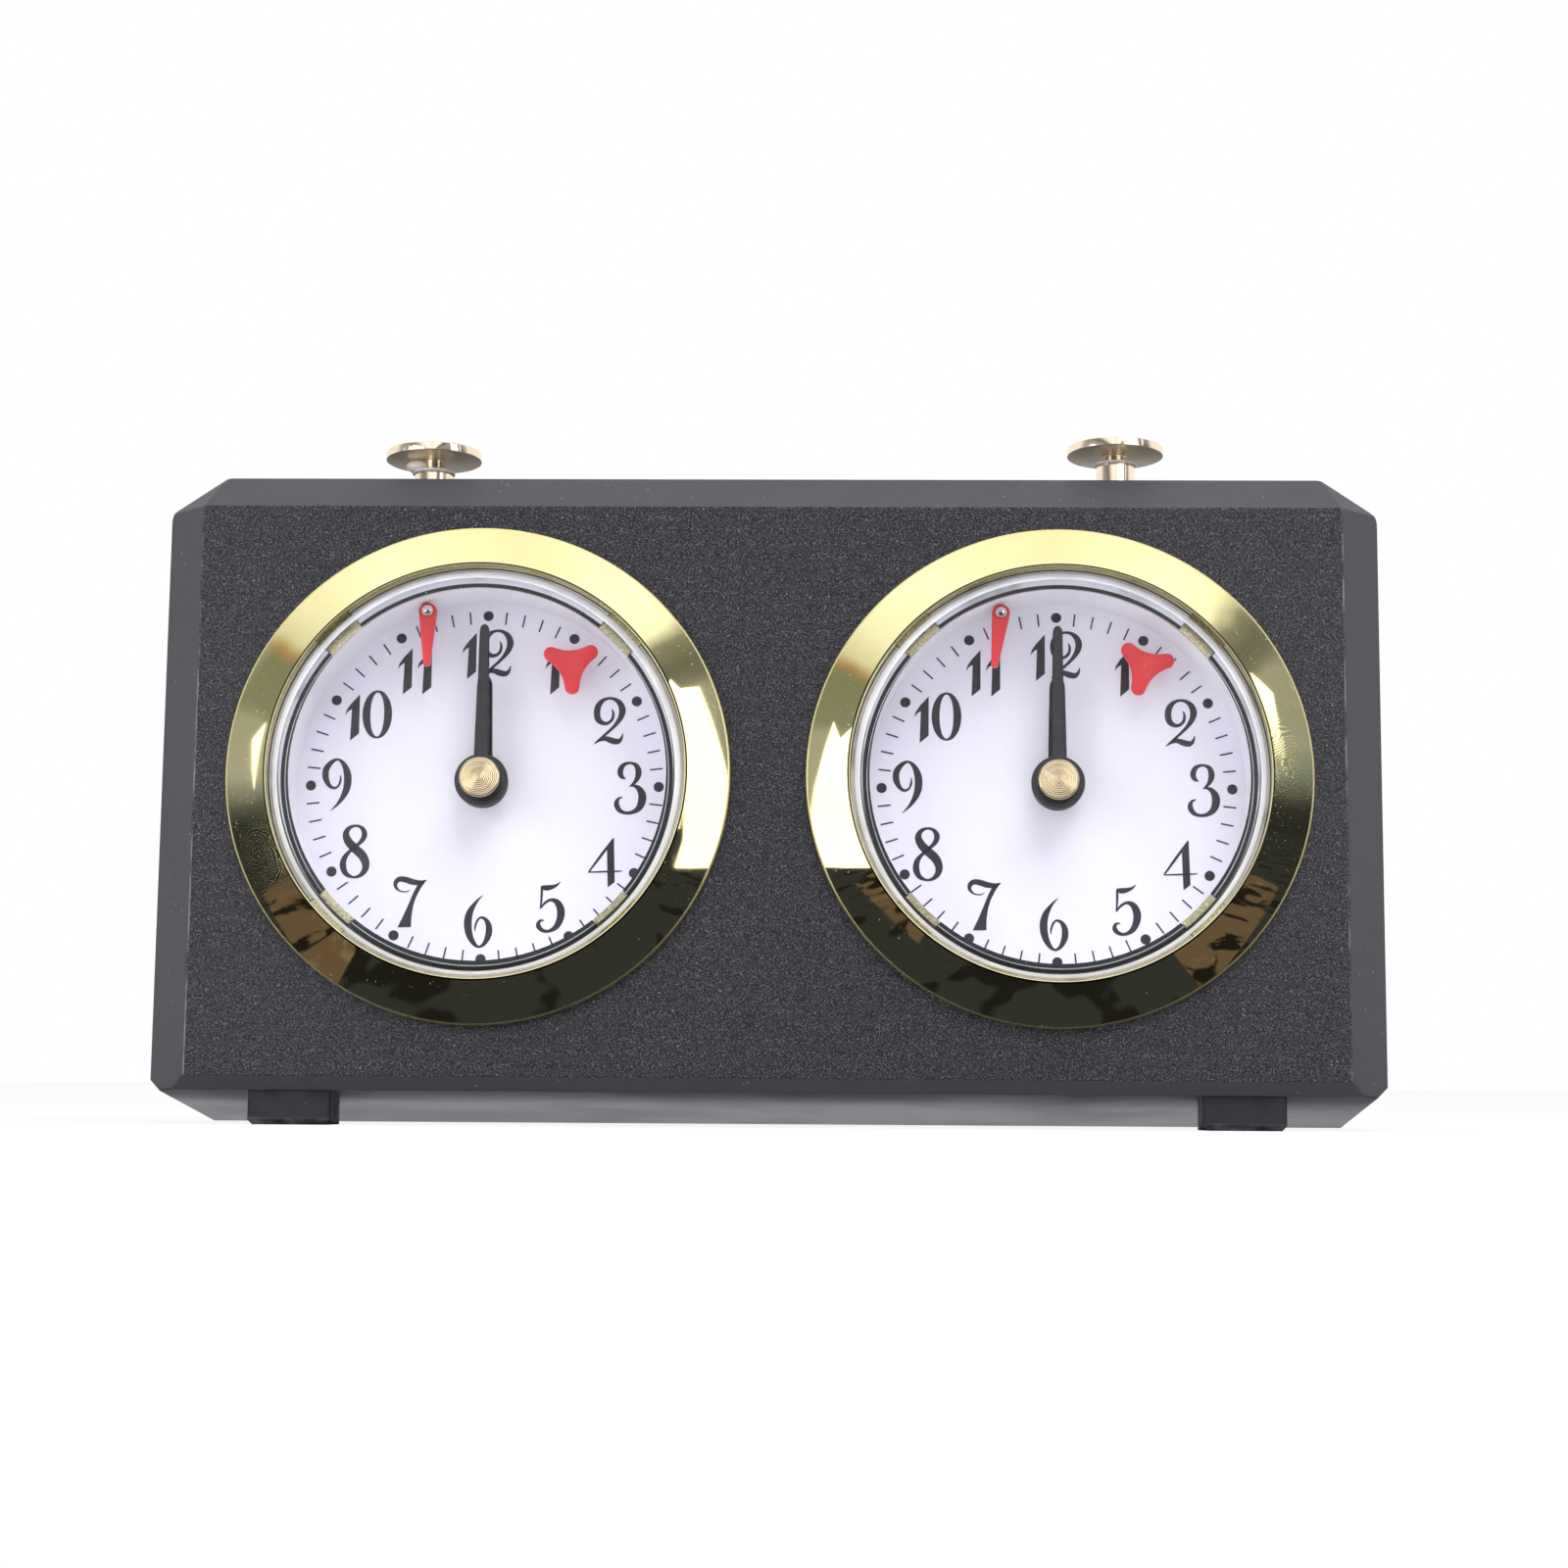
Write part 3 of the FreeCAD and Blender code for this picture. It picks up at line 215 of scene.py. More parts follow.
table_top, tree = stage_sheet("table_top", [(-6, -6, 0), (6, -6, 0), (6, 6, 0), (-6, 6, 0)])
rays = node(tree, "LightPath").outputs
place = own_place(tree)
near = node(tree, "SeparateXYZ", (0, place)).outputs
# painted reflection: what reflections see of the table top, dark and blotched near the clock and
# glowing brighter than white further out; the camera sees it white
blots = noise(tree, place, 45.0)
painted_reflection = mixed(tree, span(tree, blots, 0.55, 0.58), (0.030, 0.034, 0.046), (0.012, 0.012, 0.016))
painted_reflection = mixed(tree, span(tree, near["Y"], -0.016, -0.004), painted_reflection, (1.55, 1.55, 1.62))
matt = node(tree, "BsdfDiffuse", ("Color", (0.86, 0.86, 0.87, 1))).outputs[0]
glow = node(tree, "Emission", ("Color", (1, 1, 1, 1))).outputs[0]
shown = node(tree, "MixShader", (0, 0.9), (1, matt), (2, glow)).outputs[0]
mirrored = node(tree, "Emission", ("Color", painted_reflection)).outputs[0]
surface = node(tree, "MixShader", (0, rays["Is Camera Ray"]), (1, matt), (2, shown)).outputs[0]
surface = node(tree, "MixShader", (0, rays["Is Glossy Ray"]), (1, surface), (2, mirrored))
node(tree, "OutputMaterial", ("Surface", surface.outputs[0]))

# white panels seen only in the bezels: outlines (x, z) on an upright plane before the clock
CARD_Y, PATCH_RISE = -0.15, 0.0003
CARDS = {"left_card": [(-0.27, 0.003), (-0.10, 0.003), (-0.10, 0.150), (-0.205, 0.182),
                       (-0.235, 0.165), (-0.27, 0.205)],
         "right_card": [(0.136, 0.004), (0.25, 0.004), (0.25, 0.262), (0.200, 0.236),
                        (0.188, 0.248), (0.170, 0.222), (0.10, 0.235), (0.10, 0.050),
                        (0.146, 0.042), (0.157, 0.078), (0.150, 0.032)],
         "left_glint": [(-0.406, 0.098), (-0.450, 0.226), (-0.494, 0.204)],
         "right_glint": [(0.348, 0.110), (0.448, 0.300), (0.390, 0.322)]}
for name, outline in CARDS.items():
    card, tree = stage_sheet(name, [(x, CARD_Y, z) for x, z in outline])
    glow = node(tree, "Emission", ("Color", (1, 1, 1, 1)), ("Strength", GLEAM)).outputs[0]
    node(tree, "OutputMaterial", ("Surface", glow))
    only_mirrored(card)

# streaky brown sheets just above the table in front glow only in the bezels: a painted reflection
PATCHES = {"left_brown": [(-0.086, -0.044), (-0.215, -0.088), (-0.225, -0.125), (-0.100, -0.073),
                          (-0.090, -0.060)],
           "right_brown": [(-0.008, -0.066), (-0.118, -0.118), (-0.128, -0.148), (-0.012, -0.080)],
           "right_dusk": [(0.086, -0.046), (0.230, -0.105), (0.240, -0.140), (0.086, -0.070)]}
for name, outline in PATCHES.items():
    card, tree = stage_sheet(name, [(x, y, PATCH_RISE) for x, y in outline])
    streak = noise(tree, own_place(tree), 42.0, 3.0, ("Distortion", 1.2))
    brown = mixed(tree, span(tree, streak, 0.42, 0.46), (0.012, 0.011, 0.012),
                  (0.125, 0.088, 0.075))
    brown = mixed(tree, span(tree, streak, 0.62, 0.66), brown, (0.19, 0.15, 0.12))
    glow = node(tree, "Emission", ("Color", brown)).outputs[0]
    node(tree, "OutputMaterial", ("Surface", glow))
    only_mirrored(card)

# --- Case. The front shell and the recessed back plate are moulded in black plastic. The front
# face has a coarse spark grain; bevels, sides and back are nearly smooth and look greyer.


def finish(name, **values):
    """A new material with a Principled shader whose plain sockets are set from values."""
    made = bpy.data.materials.new(name)
    made.use_nodes = True
    shader = made.node_tree.nodes["Principled BSDF"]
    for socket, value in values.items():
        shader.inputs[socket.replace("_", " ")].default_value = value
    return made, made.node_tree, shader


def effect(name, inputs, outputs):
    """Start a shader node group with inputs and outputs by name and kind; returns it and both
    of its ends."""
    made = bpy.data.node_groups.new(name, "ShaderNodeTree")
    for socket, kind in inputs.items():
        made.interface.new_socket(socket, in_out="INPUT", socket_type="NodeSocket" + kind)
    for socket, kind in outputs.items():
        made.interface.new_socket(socket, in_out="OUTPUT", socket_type="NodeSocket" + kind)
    return made, made.nodes.new("NodeGroupInput").outputs, made.nodes.new("NodeGroupOutput").inputs


def use(tree, group, **values):
    """Place a node group with its inputs set or linked, and return its outputs."""
    made = node(tree, "Group", node_tree=group)
    for socket, value in values.items():
        wire(tree, made.inputs[socket], value)
    return made.outputs


# grain: tiny raised specks; Speck is a 0 to 1 mask of them and Height feeds a bump
grain, given, out = effect("moulded_grain", {"Size": "Float", "Cover": "Float"},
                           {"Speck": "Float", "Height": "Float"})
place = own_place(grain)
count = calc(grain, "/", 1.0, given["Size"])
fine = noise(grain, place, count, 2.0, ("Roughness", 0.7))
cells = node(grain, "TexVoronoi", ("Vector", place), ("Scale", count)).outputs["Distance"]
low = calc(grain, "-", 1.0, given["Cover"])
wire(grain, out["Speck"], span(grain, fine, low, calc(grain, "+", low, 0.16)))
wire(grain, out["Height"], calc(grain, "-", fine, calc(grain, "*", cells, 0.3)))

# handling: broad soft smears, thin stray scratches and a few specks of dust, each 0 to 1
handling, given, out = effect("handling", {"Size": "Float"},
                              {"Smear": "Float", "Scratch": "Float", "Dust": "Float"})
place = own_place(handling)
broad = noise(handling, place, calc(handling, "/", 1.0, given["Size"]), 4.0, ("Distortion", 0.6))
wire(handling, out["Smear"], span(handling, broad, 0.42, 0.68))
lines = 0.0
for angle, stretch in ((0.5, 0.035), (-0.9, 0.05), (1.4, 0.03)):
    across = node(handling, "Mapping", ("Vector", place), ("Rotation", (0, angle, 0))).outputs[0]
    across = node(handling, "Mapping", ("Vector", across), ("Scale", (1, 1, stretch))).outputs[0]
    streak = noise(handling, across, 5200.0)
    lines = calc(handling, "MAXIMUM", lines, span(handling, streak, 0.735, 0.76))
sparse = noise(handling, place, 90.0)
wire(handling, out["Scratch"], calc(handling, "*", lines, span(handling, sparse, 0.42, 0.55)))
motes = node(handling, "TexVoronoi", ("Vector", place), ("Scale", 800.0)).outputs["Distance"]
patch = noise(handling, place, 300.0)
wire(handling, out["Dust"],
     calc(handling, "*", calc(handling, "LESS_THAN", motes, 0.10),
          calc(handling, "GREATER_THAN", patch, 0.6)))


def coloured(tree, shader, mask, low, high):
    """Base colour that runs from low to high with a mask."""
    wire(tree, shader.inputs["Base Color"], mixed(tree, mask, low, high))


def roughened(tree, shader, mask, low, high):
    """Roughness that runs from low to high with a mask."""
    wire(tree, shader.inputs["Roughness"], span(tree, mask, 0.0, 1.0, low, high))


def bumped(tree, shader, height, strength, distance):
    """Bump of that height, with distance in metres for a height of one."""
    made = node(tree, "Bump", ("Strength", strength), ("Distance", distance), ("Height", height))
    wire(tree, shader.inputs["Normal"], made.outputs[0])


FOLD_X = 0.0879                             # where the front face meets a side bevel
GRAIN_DEPTH = 0.06                          # surfaces less than this behind the front are grained


def upright_seat(tree):
    """Object coordinates turned upright again, in metres."""
    return node(tree, "Mapping", ("Vector", own_place(tree)),
                ("Rotation", (LEAN, 0, 0))).outputs[0]


def moulded_black(name, face_depth):
    """Black plastic whose surfaces nearer than face_depth, upright, carry the spark grain."""
    made, tree, shader = finish(name, IOR=1.5, Specular_IOR_Level=0.3)
    seat = own_place(tree)
    face = calc(tree, "LESS_THAN", node(tree, "SeparateXYZ", (0, upright_seat(tree))).outputs["Y"],
                face_depth)
    coarse = use(tree, grain, Size=0.00021, Cover=0.50)
    smooth = use(tree, grain, Size=0.00016, Cover=0.45)
    worn = use(tree, handling, Size=0.03)
    rough_face = mixed(tree, coarse["Speck"], (0.0115, 0.0110, 0.0140), (0.118, 0.114, 0.126))
    smooth_face = mixed(tree, smooth["Speck"], (0.052, 0.051, 0.058), (0.088, 0.086, 0.096))
    colour = mixed(tree, face, smooth_face, rough_face)
    colour = mixed(tree, calc(tree, "*", worn["Dust"], 0.5), colour, (0.4, 0.4, 0.4))
    # a painted highlight runs in broken lengths along the fold between the front face and each
    # side bevel
    side_way = calc(tree, "ABSOLUTE", node(tree, "SeparateXYZ", (0, seat)).outputs["X"])
    edge_highlight = span(tree, calc(tree, "ABSOLUTE", calc(tree, "-", side_way, FOLD_X)), 0.00006, 0.00016,
                0.7, 0.0)
    broken = noise(tree, seat, 160.0, 4.0)
    edge_highlight = calc(tree, "*", edge_highlight, span(tree, broken, 0.45, 0.60, 0.08, 0.9))
    colour = mixed(tree, calc(tree, "*", edge_highlight, face), colour, (0.24, 0.24, 0.27))
    wire(tree, shader.inputs["Base Color"], colour)
    bumped(tree, shader, mixed(tree, face, smooth["Height"], coarse["Height"]), 0.5, 0.00010)
    roughened(tree, shader, worn["Smear"], 0.50, 0.60)
    return made


def dress(material, *names):
    """Give carried-over CAD nodes their finish."""
    for name in names:
        mesh = frame["nodes"][name].data
        mesh.materials.clear()
        mesh.materials.append(material)


dress(moulded_black("case_black", upright_place([0, GRAIN_DEPTH, DIAL_Z])[1]), "case_front")
dress(moulded_black("back_plate_black", -1.0), "case_back")

# --- Screws. Zinc plated pan head screws with a cross slot hold the back plate and the rocker.
# The plating is bright on the heads, with dulled patches and hairline marks.


def metal(name, colour, dull, rough, marks=0.00002):
    """Bare or plated metal: colour fades to dull in patches, with scratches and dust."""
    made, tree, shader = finish(name, Metallic=1.0)
    worn = use(tree, handling, Size=0.006)
    skin_colour = mixed(tree, worn["Smear"], colour, dull)
    skin_colour = mixed(tree, calc(tree, "*", worn["Dust"], 0.35), skin_colour, (0.7, 0.7, 0.7))
    wire(tree, shader.inputs["Base Color"], skin_colour)
    roughened(tree, shader, worn["Smear"], *rough)
    bumped(tree, shader, worn["Scratch"], 0.5, -marks)
    return made


zinc = metal("zinc_plate", (0.62, 0.63, 0.66), (0.42, 0.43, 0.46), (0.25, 0.42))
dress(zinc, "case_screws")

# --- Front feet. Two black rubber blocks pegged into the underside; they are scuffed, and a
# painted highlight lightens a patchy band just above the edge that meets the table.
rubber, tree, shader = finish("foot_rubber", IOR=1.45)
worn = use(tree, handling, Size=0.004)
speck = use(tree, grain, Size=0.0005, Cover=0.5)
height = node(tree, "SeparateXYZ", (0, own_place(tree))).outputs["Z"]
# painted highlight: a patchy pale band 0.5 to 1.3 mm above the table, joined with real scratches
low_edge_highlight = calc(tree, "*", span(tree, height, 0.0013, 0.0005), worn["Smear"])
scuffs_and_highlight = calc(tree, "MAXIMUM", calc(tree, "*", worn["Scratch"], 0.8), low_edge_highlight)
coloured(tree, shader, calc(tree, "*", scuffs_and_highlight, 0.7), (0.018, 0.018, 0.022), (0.16, 0.16, 0.17))
roughened(tree, shader, worn["Smear"], 0.55, 0.75)
bumped(tree, shader, speck["Height"], 0.3, 0.0001)
dress(rubber, "front_feet")

# --- Bezels. Each is a thin ring pressed from gilt sheet: a polished cone that rises to a lip
# round the crystal, held to the case by lugs. Fine scratches and finger marks show on it.
BEZEL_R, LIP_R, LIP_RISE, EDGE_RISE = 38.59, 31.85, 4.9, 1.1


def eased(profile, radius, steps=4):
    """Profile whose inner corners are each replaced by a parabola that starts and ends radius
    away from the corner, or halfway to the next point where that is nearer."""
    points = np.asarray(profile, float)
    out = [points[0]]
    for before, corner, after in zip(points[:-2], points[1:-1], points[2:]):
        into, away = before - corner, after - corner
        near, far = np.linalg.norm(into), np.linalg.norm(away)
        start = corner + into / near * min(radius, near / 2)
        end = corner + away / far * min(radius, far / 2)
        t = np.linspace(0, 1, steps + 1)[:, None]
        out += list((1 - t) ** 2 * start + 2 * t * (1 - t) * corner + t ** 2 * end)
    return np.array(out + [points[-1]])


def lathe(profile, centre, steps, upright=False):
    """Points (radius, along) carried round an axis through centre: across is radius times the
    sine and cosine of the angle. The axis runs into the clock, or straight up if upright."""
    radius, along = np.asarray(profile, float).T[:, :, None]
    angle = np.linspace(0, 2 * np.pi, steps, endpoint=False)[None, :]
    a, b, along = radius * np.sin(angle), radius * np.cos(angle), along + 0 * angle
    return np.stack([a, b, along] if upright else [a, along, b], -1) + centre


def skin(name, grids, sharp):
    """One mesh from grids of upright points: quads between neighbouring rows and columns, each
    row joined end to start, and the last row to the first unless both shrink to a point.
    Doubled points are merged, so rows that shrink to a point close as a fan."""
    points, faces, base = [], [], 0
    for grid in grids:
        index = np.arange(grid[..., 0].size).reshape(grid.shape[:2])
        index = np.concatenate([index, index[:, :1]], 1)
        if np.ptp(grid[[0, -1]], axis=1).max() > 1e-9:
            index = np.concatenate([index, index[:1]], 0)
        quads = np.stack([index[:-1, :-1], index[:-1, 1:], index[1:, 1:], index[1:, :-1]], -1)
        points.append(grid.reshape(-1, 3))
        faces.append(quads.reshape(-1, 4) + base)
        base += len(points[-1])
    mesh = bpy.data.meshes.new(name)
    mesh.from_pydata(on_table(np.concatenate(points)).tolist(), [], np.concatenate(faces).tolist())
    work = bmesh.new()
    work.from_mesh(mesh)
    bmesh.ops.remove_doubles(work, verts=work.verts, dist=5e-7)
    bmesh.ops.recalc_face_normals(work, faces=work.faces)
    work.to_mesh(mesh)
    work.free()
    mesh.shade_smooth()
    mesh.set_sharp_from_angle(angle=math.radians(sharp))
    return mesh


def fit(name, mesh, material, body, slot, *stands_for):
    """Place a finished mesh: its material, the body it rides on and the CAD nodes it replaces."""
    piece = bpy.data.objects.new(name, mesh)
    scene.collection.objects.link(piece)
    mesh.materials.append(material)
    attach(piece, body)
    if stands_for:
        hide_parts(*stands_for)
    return piece


def put(name, grids, *given, sharp=35):
    """Skin the grids and fit the mesh."""
    return fit(name, skin(name, grids, sharp), *given)


def wedges(r_in, r_out, y0, y1, middles, half, centre):
    """Closed arc blocks: for each middle angle, a box section swept over twice half degrees,
    its ends shrunk to a point to close it."""
    made = []
    for middle in middles:
        angle = np.radians(np.linspace(middle - half, middle + half, 13))
        angle = np.concatenate([angle[:1], angle, angle[-1:]])[:, None]
        radius = np.array([r_in, r_out, r_out, r_in])[None, :] + 0 * angle
        depth = np.array([y0, y0, y1, y1])[None, :] + 0 * angle
        radius[[0, -1]], depth[[0, -1]] = (r_in + r_out) / 2, (y0 + y1) / 2
        made.append(np.stack([radius * np.sin(angle), depth, radius * np.cos(angle)], -1) + centre)
    return made


# from_dial: how far a place lies from the nearer dial's axis, or from a line Drop below it
from_dial, given, out = effect("from_dial", {"Drop": "Float"}, {"Reach": "Float"})
axes = node(from_dial, "SeparateXYZ", (0, upright_seat(from_dial))).outputs
aside = calc(from_dial, "-", calc(from_dial, "ABSOLUTE", axes["X"]), DIAL_X / 1000)
above = calc(from_dial, "-", axes["Z"], upright_place([0, 0, DIAL_Z])[2])
above = calc(from_dial, "+", above, given["Drop"])
wire(from_dial, out["Reach"],
     calc(from_dial, "SQRT",
          calc(from_dial, "+", calc(from_dial, "*", aside, aside),
               calc(from_dial, "*", above, above))))

# finger marks: thin whorls about a place in upright metres, fading out past a radius
whorls, given, out = effect("finger_marks", {"Place": "Vector", "Reach": "Float"},
                            {"Height": "Float", "Mark": "Float"})
seat = upright_seat(whorls)
off = node(whorls, "VectorMath", (0, seat), (1, given["Place"]), operation="SUBTRACT").outputs[0]
away = node(whorls, "VectorMath", (0, off), operation="LENGTH").outputs["Value"]
bend = noise(whorls, seat, 260.0, 1.0)
ridge = calc(whorls, "SINE",
             calc(whorls, "+", calc(whorls, "*", away, 13000.0), calc(whorls, "*", bend, 60.0)))
fade = calc(whorls, "-", 1.0, calc(whorls, "/", away, given["Reach"]))
fade = calc(whorls, "MAXIMUM", fade, 0.0)
wire(whorls, out["Height"], calc(whorls, "*", ridge, fade))
wire(whorls, out["Mark"],
     calc(whorls, "*", span(whorls, ridge, 0.1, 0.6), span(whorls, fade, 0.1, 0.5)))


def gilt(name, thumb):
    """Pale polished gilt, slightly wavy as pressed, with finger marks about one place."""
    made, tree, shader = finish(name, Metallic=1.0)
    worn = use(tree, handling, Size=0.012)
    wave = noise(tree, own_place(tree), 70.0, 1.0)
    colour = mixed(tree, worn["Smear"], (1.0, 0.91, 0.47), (0.97, 0.87, 0.44))
    colour = mixed(tree, calc(tree, "*", worn["Dust"], 0.5), colour, (0.9, 0.9, 0.85))
    # painted shade: a thin dark ring on the gilt just outside the crystal's edge stands for the
    # shadowed gap there
    reach = use(tree, from_dial, Drop=0.0)["Reach"]
    groove_shade = calc(tree, "*", span(tree, reach, 0.03222, 0.03232, 1.0, 0.0),
                  span(tree, reach, 0.03197, 0.03202))
    colour = mixed(tree, groove_shade, colour, (0.030, 0.030, 0.022))
    wire(tree, shader.inputs["Base Color"], colour)
    marks = use(tree, whorls, Place=thumb, Reach=0.009)
    high = calc(tree, "+", wave, calc(tree, "*", marks["Height"], 0.05))
    high = calc(tree, "-", high, calc(tree, "*", worn["Scratch"], 0.06))
    bumped(tree, shader, high, 0.6, 0.00006)
    hazy = calc(tree, "MAXIMUM", calc(tree, "*", marks["Mark"], 0.13),
                calc(tree, "*", worn["Scratch"], 0.40))
    hazy = calc(tree, "MAXIMUM", hazy, calc(tree, "*", worn["Dust"], 0.6))
    rim = span(tree, reach, 0.03824, 0.03836, 0.0, 0.45)
    wire(tree, shader.inputs["Roughness"],
         calc(tree, "+", span(tree, worn["Smear"], 0.0, 1.0, 0.035, 0.075),
              calc(tree, "MAXIMUM", hazy, rim)))
    return made


# the tabs get their own dimmer gilt: painted shade, as they sit in shadow behind the lip
shaded_tab_gilt, tree, shader = finish("shaded_tab_gilt", Metallic=1.0)
speck = use(tree, grain, Size=0.0004, Cover=0.5)
coloured(tree, shader, speck["Speck"], (0.50, 0.46, 0.30), (0.82, 0.76, 0.50))
bumped(tree, shader, speck["Height"], 0.6, 0.00012)
roughened(tree, shader, speck["Speck"], 0.30, 0.42)

SHEET, FLANGE, SKIRT_Y, LIP_FLAT = 0.5, 0.7, 3.5, 0.25
TAB_R, TAB_FRONT, TAB_BACK, LUG_R, LUG_Y = 28.9, -2.1, -1.6, LIP_R + 3, 3.0
THUMB_R, THUMB_WAY = 35.2, {"left": 248, "right": 88}
slope = (LIP_RISE - EDGE_RISE) / (BEZEL_R - LIP_R)
wall_r = LIP_R + SHEET
inside = SHEET + 0.05                       # the cone's thickness along its axis
for side, s in SIDES.items():
    centre = (s * DIAL_X, 0, DIAL_Z)
    front = eased([(BEZEL_R, -0.3), (BEZEL_R, -EDGE_RISE), (LIP_R + LIP_FLAT, -LIP_RISE),
                   (LIP_R, -LIP_RISE), (LIP_R, 0.0)], 0.16, 5)
    back = [(LIP_R, SKIRT_Y), (wall_r, SKIRT_Y), (wall_r, inside - LIP_RISE + SHEET * slope),
            (BEZEL_R - FLANGE, inside - EDGE_RISE - FLANGE * slope), (BEZEL_R - FLANGE, -0.02),
            (BEZEL_R, -0.02)]
    ring = lathe(np.concatenate([front, back]), centre, 384)
    tabs = wedges(TAB_R, LIP_R - 0.02, TAB_FRONT, TAB_BACK, (45, 135, 225, 315), 6, centre)
    lugs = wedges(wall_r - 0.3, LUG_R, LUG_Y, SKIRT_Y, (0, 90, 180, 270), 6, centre)
    way = math.radians(THUMB_WAY[side])
    thumb = upright_place([centre[0] + THUMB_R * math.sin(way), -3,
                           DIAL_Z + THUMB_R * math.cos(way)])
    put(side + "_bezel_ring", [ring, *lugs], gilt(side + "_gilt", thumb), "case", "yellow_metal",
        side + "_bezel")
    put(side + "_bezel_tabs", tabs, shaded_tab_gilt, "case", "yellow_metal")

# --- Crystals and gaskets. A flat disc of clear acrylic, whose broad polished edge bevel is painted
# white as a painted reflection, rests on a dark gasket between the bezel's four tabs.
clear, tree, shader = finish("crystal_clear", Metallic=1.0, Base_Color=(1, 1, 1, 1))
worn = use(tree, handling, Size=0.02)
glancing_sheen = node(tree, "Fresnel", ("IOR", 1.49)).outputs[0]
marked = calc(tree, "MAXIMUM", calc(tree, "*", worn["Scratch"], 0.05),
              calc(tree, "*", worn["Dust"], 0.20))
wire(tree, shader.inputs["Alpha"], calc(tree, "+", calc(tree, "*", glancing_sheen, 0.10), marked))
roughened(tree, shader, worn["Smear"], 0.02, 0.05)

bevel, tree, shader = finish("crystal_bevel", IOR=1.49)
# painted reflection: the bevel's white, with a thin dark line at its inner edge, is painted in its
# colour
glint = noise(tree, own_place(tree), 160.0, 3.0)
painted_white = mixed(tree, span(tree, glint, 0.35, 0.65), (0.94, 0.93, 0.98), (0.80, 0.79, 0.86))
reach = use(tree, from_dial, Drop=0.0004)["Reach"]
coloured(tree, shader, span(tree, reach, 0.03022, 0.03034), (0.020, 0.022, 0.022), painted_white)
roughened(tree, shader, glint, 0.08, 0.25)
wire(tree, shader.inputs["Alpha"], span(tree, glint, 0.3, 0.7, 0.96, 0.82))

gasket, tree, shader = finish("gasket_black", IOR=1.5)
sheen = noise(tree, own_place(tree), 140.0)
reach = use(tree, from_dial, Drop=0.0004)["Reach"]
# painted highlights: pale rings on the black gasket, a thin one near 29.3 mm and a band from 29.9
# mm out
gasket_highlight = span(tree, calc(tree, "ABSOLUTE", calc(tree, "-", reach, 0.02926)), 0.00003, 0.00010, 0.7,
           0.0)
gasket_highlight = calc(tree, "MAXIMUM", gasket_highlight, span(tree, reach, 0.02990, 0.03000))
coloured(tree, shader, calc(tree, "*", gasket_highlight, span(tree, sheen, 0.30, 0.5, 0.6, 1.0)),
         (0.012, 0.014, 0.014), (0.74, 0.74, 0.80))
roughened(tree, shader, sheen, 0.25, 0.45)
dress(gasket, "crystal_gaskets")

CRYSTAL_R, CRYSTAL_FRONT, CRYSTAL_BACK = 31.15, -3.7, -2.12
BEVEL_IN, BEVEL_END = CRYSTAL_R - 1.05, -3.05
for side, s in SIDES.items():
    centre = (s * DIAL_X, 0, DIAL_Z)
    profile = [(0, CRYSTAL_FRONT), (BEVEL_IN, CRYSTAL_FRONT), (CRYSTAL_R, BEVEL_END),
               (CRYSTAL_R, CRYSTAL_BACK), (0, CRYSTAL_BACK)]
    piece = put(side + "_crystal_disc", [lathe(profile, centre, 256)], clear, "case",
                "clear_acrylic", side + "_crystal")
    mesh = piece.data
    mesh.materials.append(bevel)
    spots = np.empty(len(mesh.polygons) * 3)
    mesh.polygons.foreach_get("center", spots)
    spots = spots.reshape(-1, 3)
    middle = on_table([s * DIAL_X, (CRYSTAL_FRONT + CRYSTAL_BACK) / 2, DIAL_Z])
    rim = np.linalg.norm(spots - middle, axis=1) > BEVEL_IN / 1000
    mesh.polygons.foreach_set("material_index", rim.astype(np.int32))

# --- Dial cups and dials. A white moulded cup sets a white enamelled dial back from the crystal.
# The dial is printed in black with a minute track, hour dots and tall swelling numerals.
cup_white, tree, shader = finish("cup_white", IOR=1.5)
worn = use(tree, handling, Size=0.01)
coloured(tree, shader, worn["Smear"], (0.86, 0.85, 0.90), (0.82, 0.81, 0.86))
roughened(tree, shader, worn["Smear"], 0.3, 0.4)
dress(cup_white, "left_dial_cup", "right_dial_cup")

enamel, tree, shader = finish("dial_enamel", IOR=1.5)
worn = use(tree, handling, Size=0.02)
speck = use(tree, grain, Size=0.0004, Cover=0.5)
tint = mixed(tree, worn["Smear"], (0.82, 0.81, 0.90), (0.84, 0.83, 0.91))
coloured(tree, shader, calc(tree, "*", worn["Dust"], 0.25), tint, (0.35, 0.35, 0.35))
bumped(tree, shader, speck["Height"], 0.15, 0.00002)
roughened(tree, shader, worn["Smear"], 0.30, 0.38)
dress(enamel, "left_dial", "right_dial")

ink, tree, shader = finish("dial_ink", IOR=1.5)
worn = use(tree, handling, Size=0.003)
coloured(tree, shader, worn["Smear"], (0.020, 0.020, 0.028), (0.034, 0.033, 0.042))
roughened(tree, shader, worn["Smear"], 0.35, 0.5)

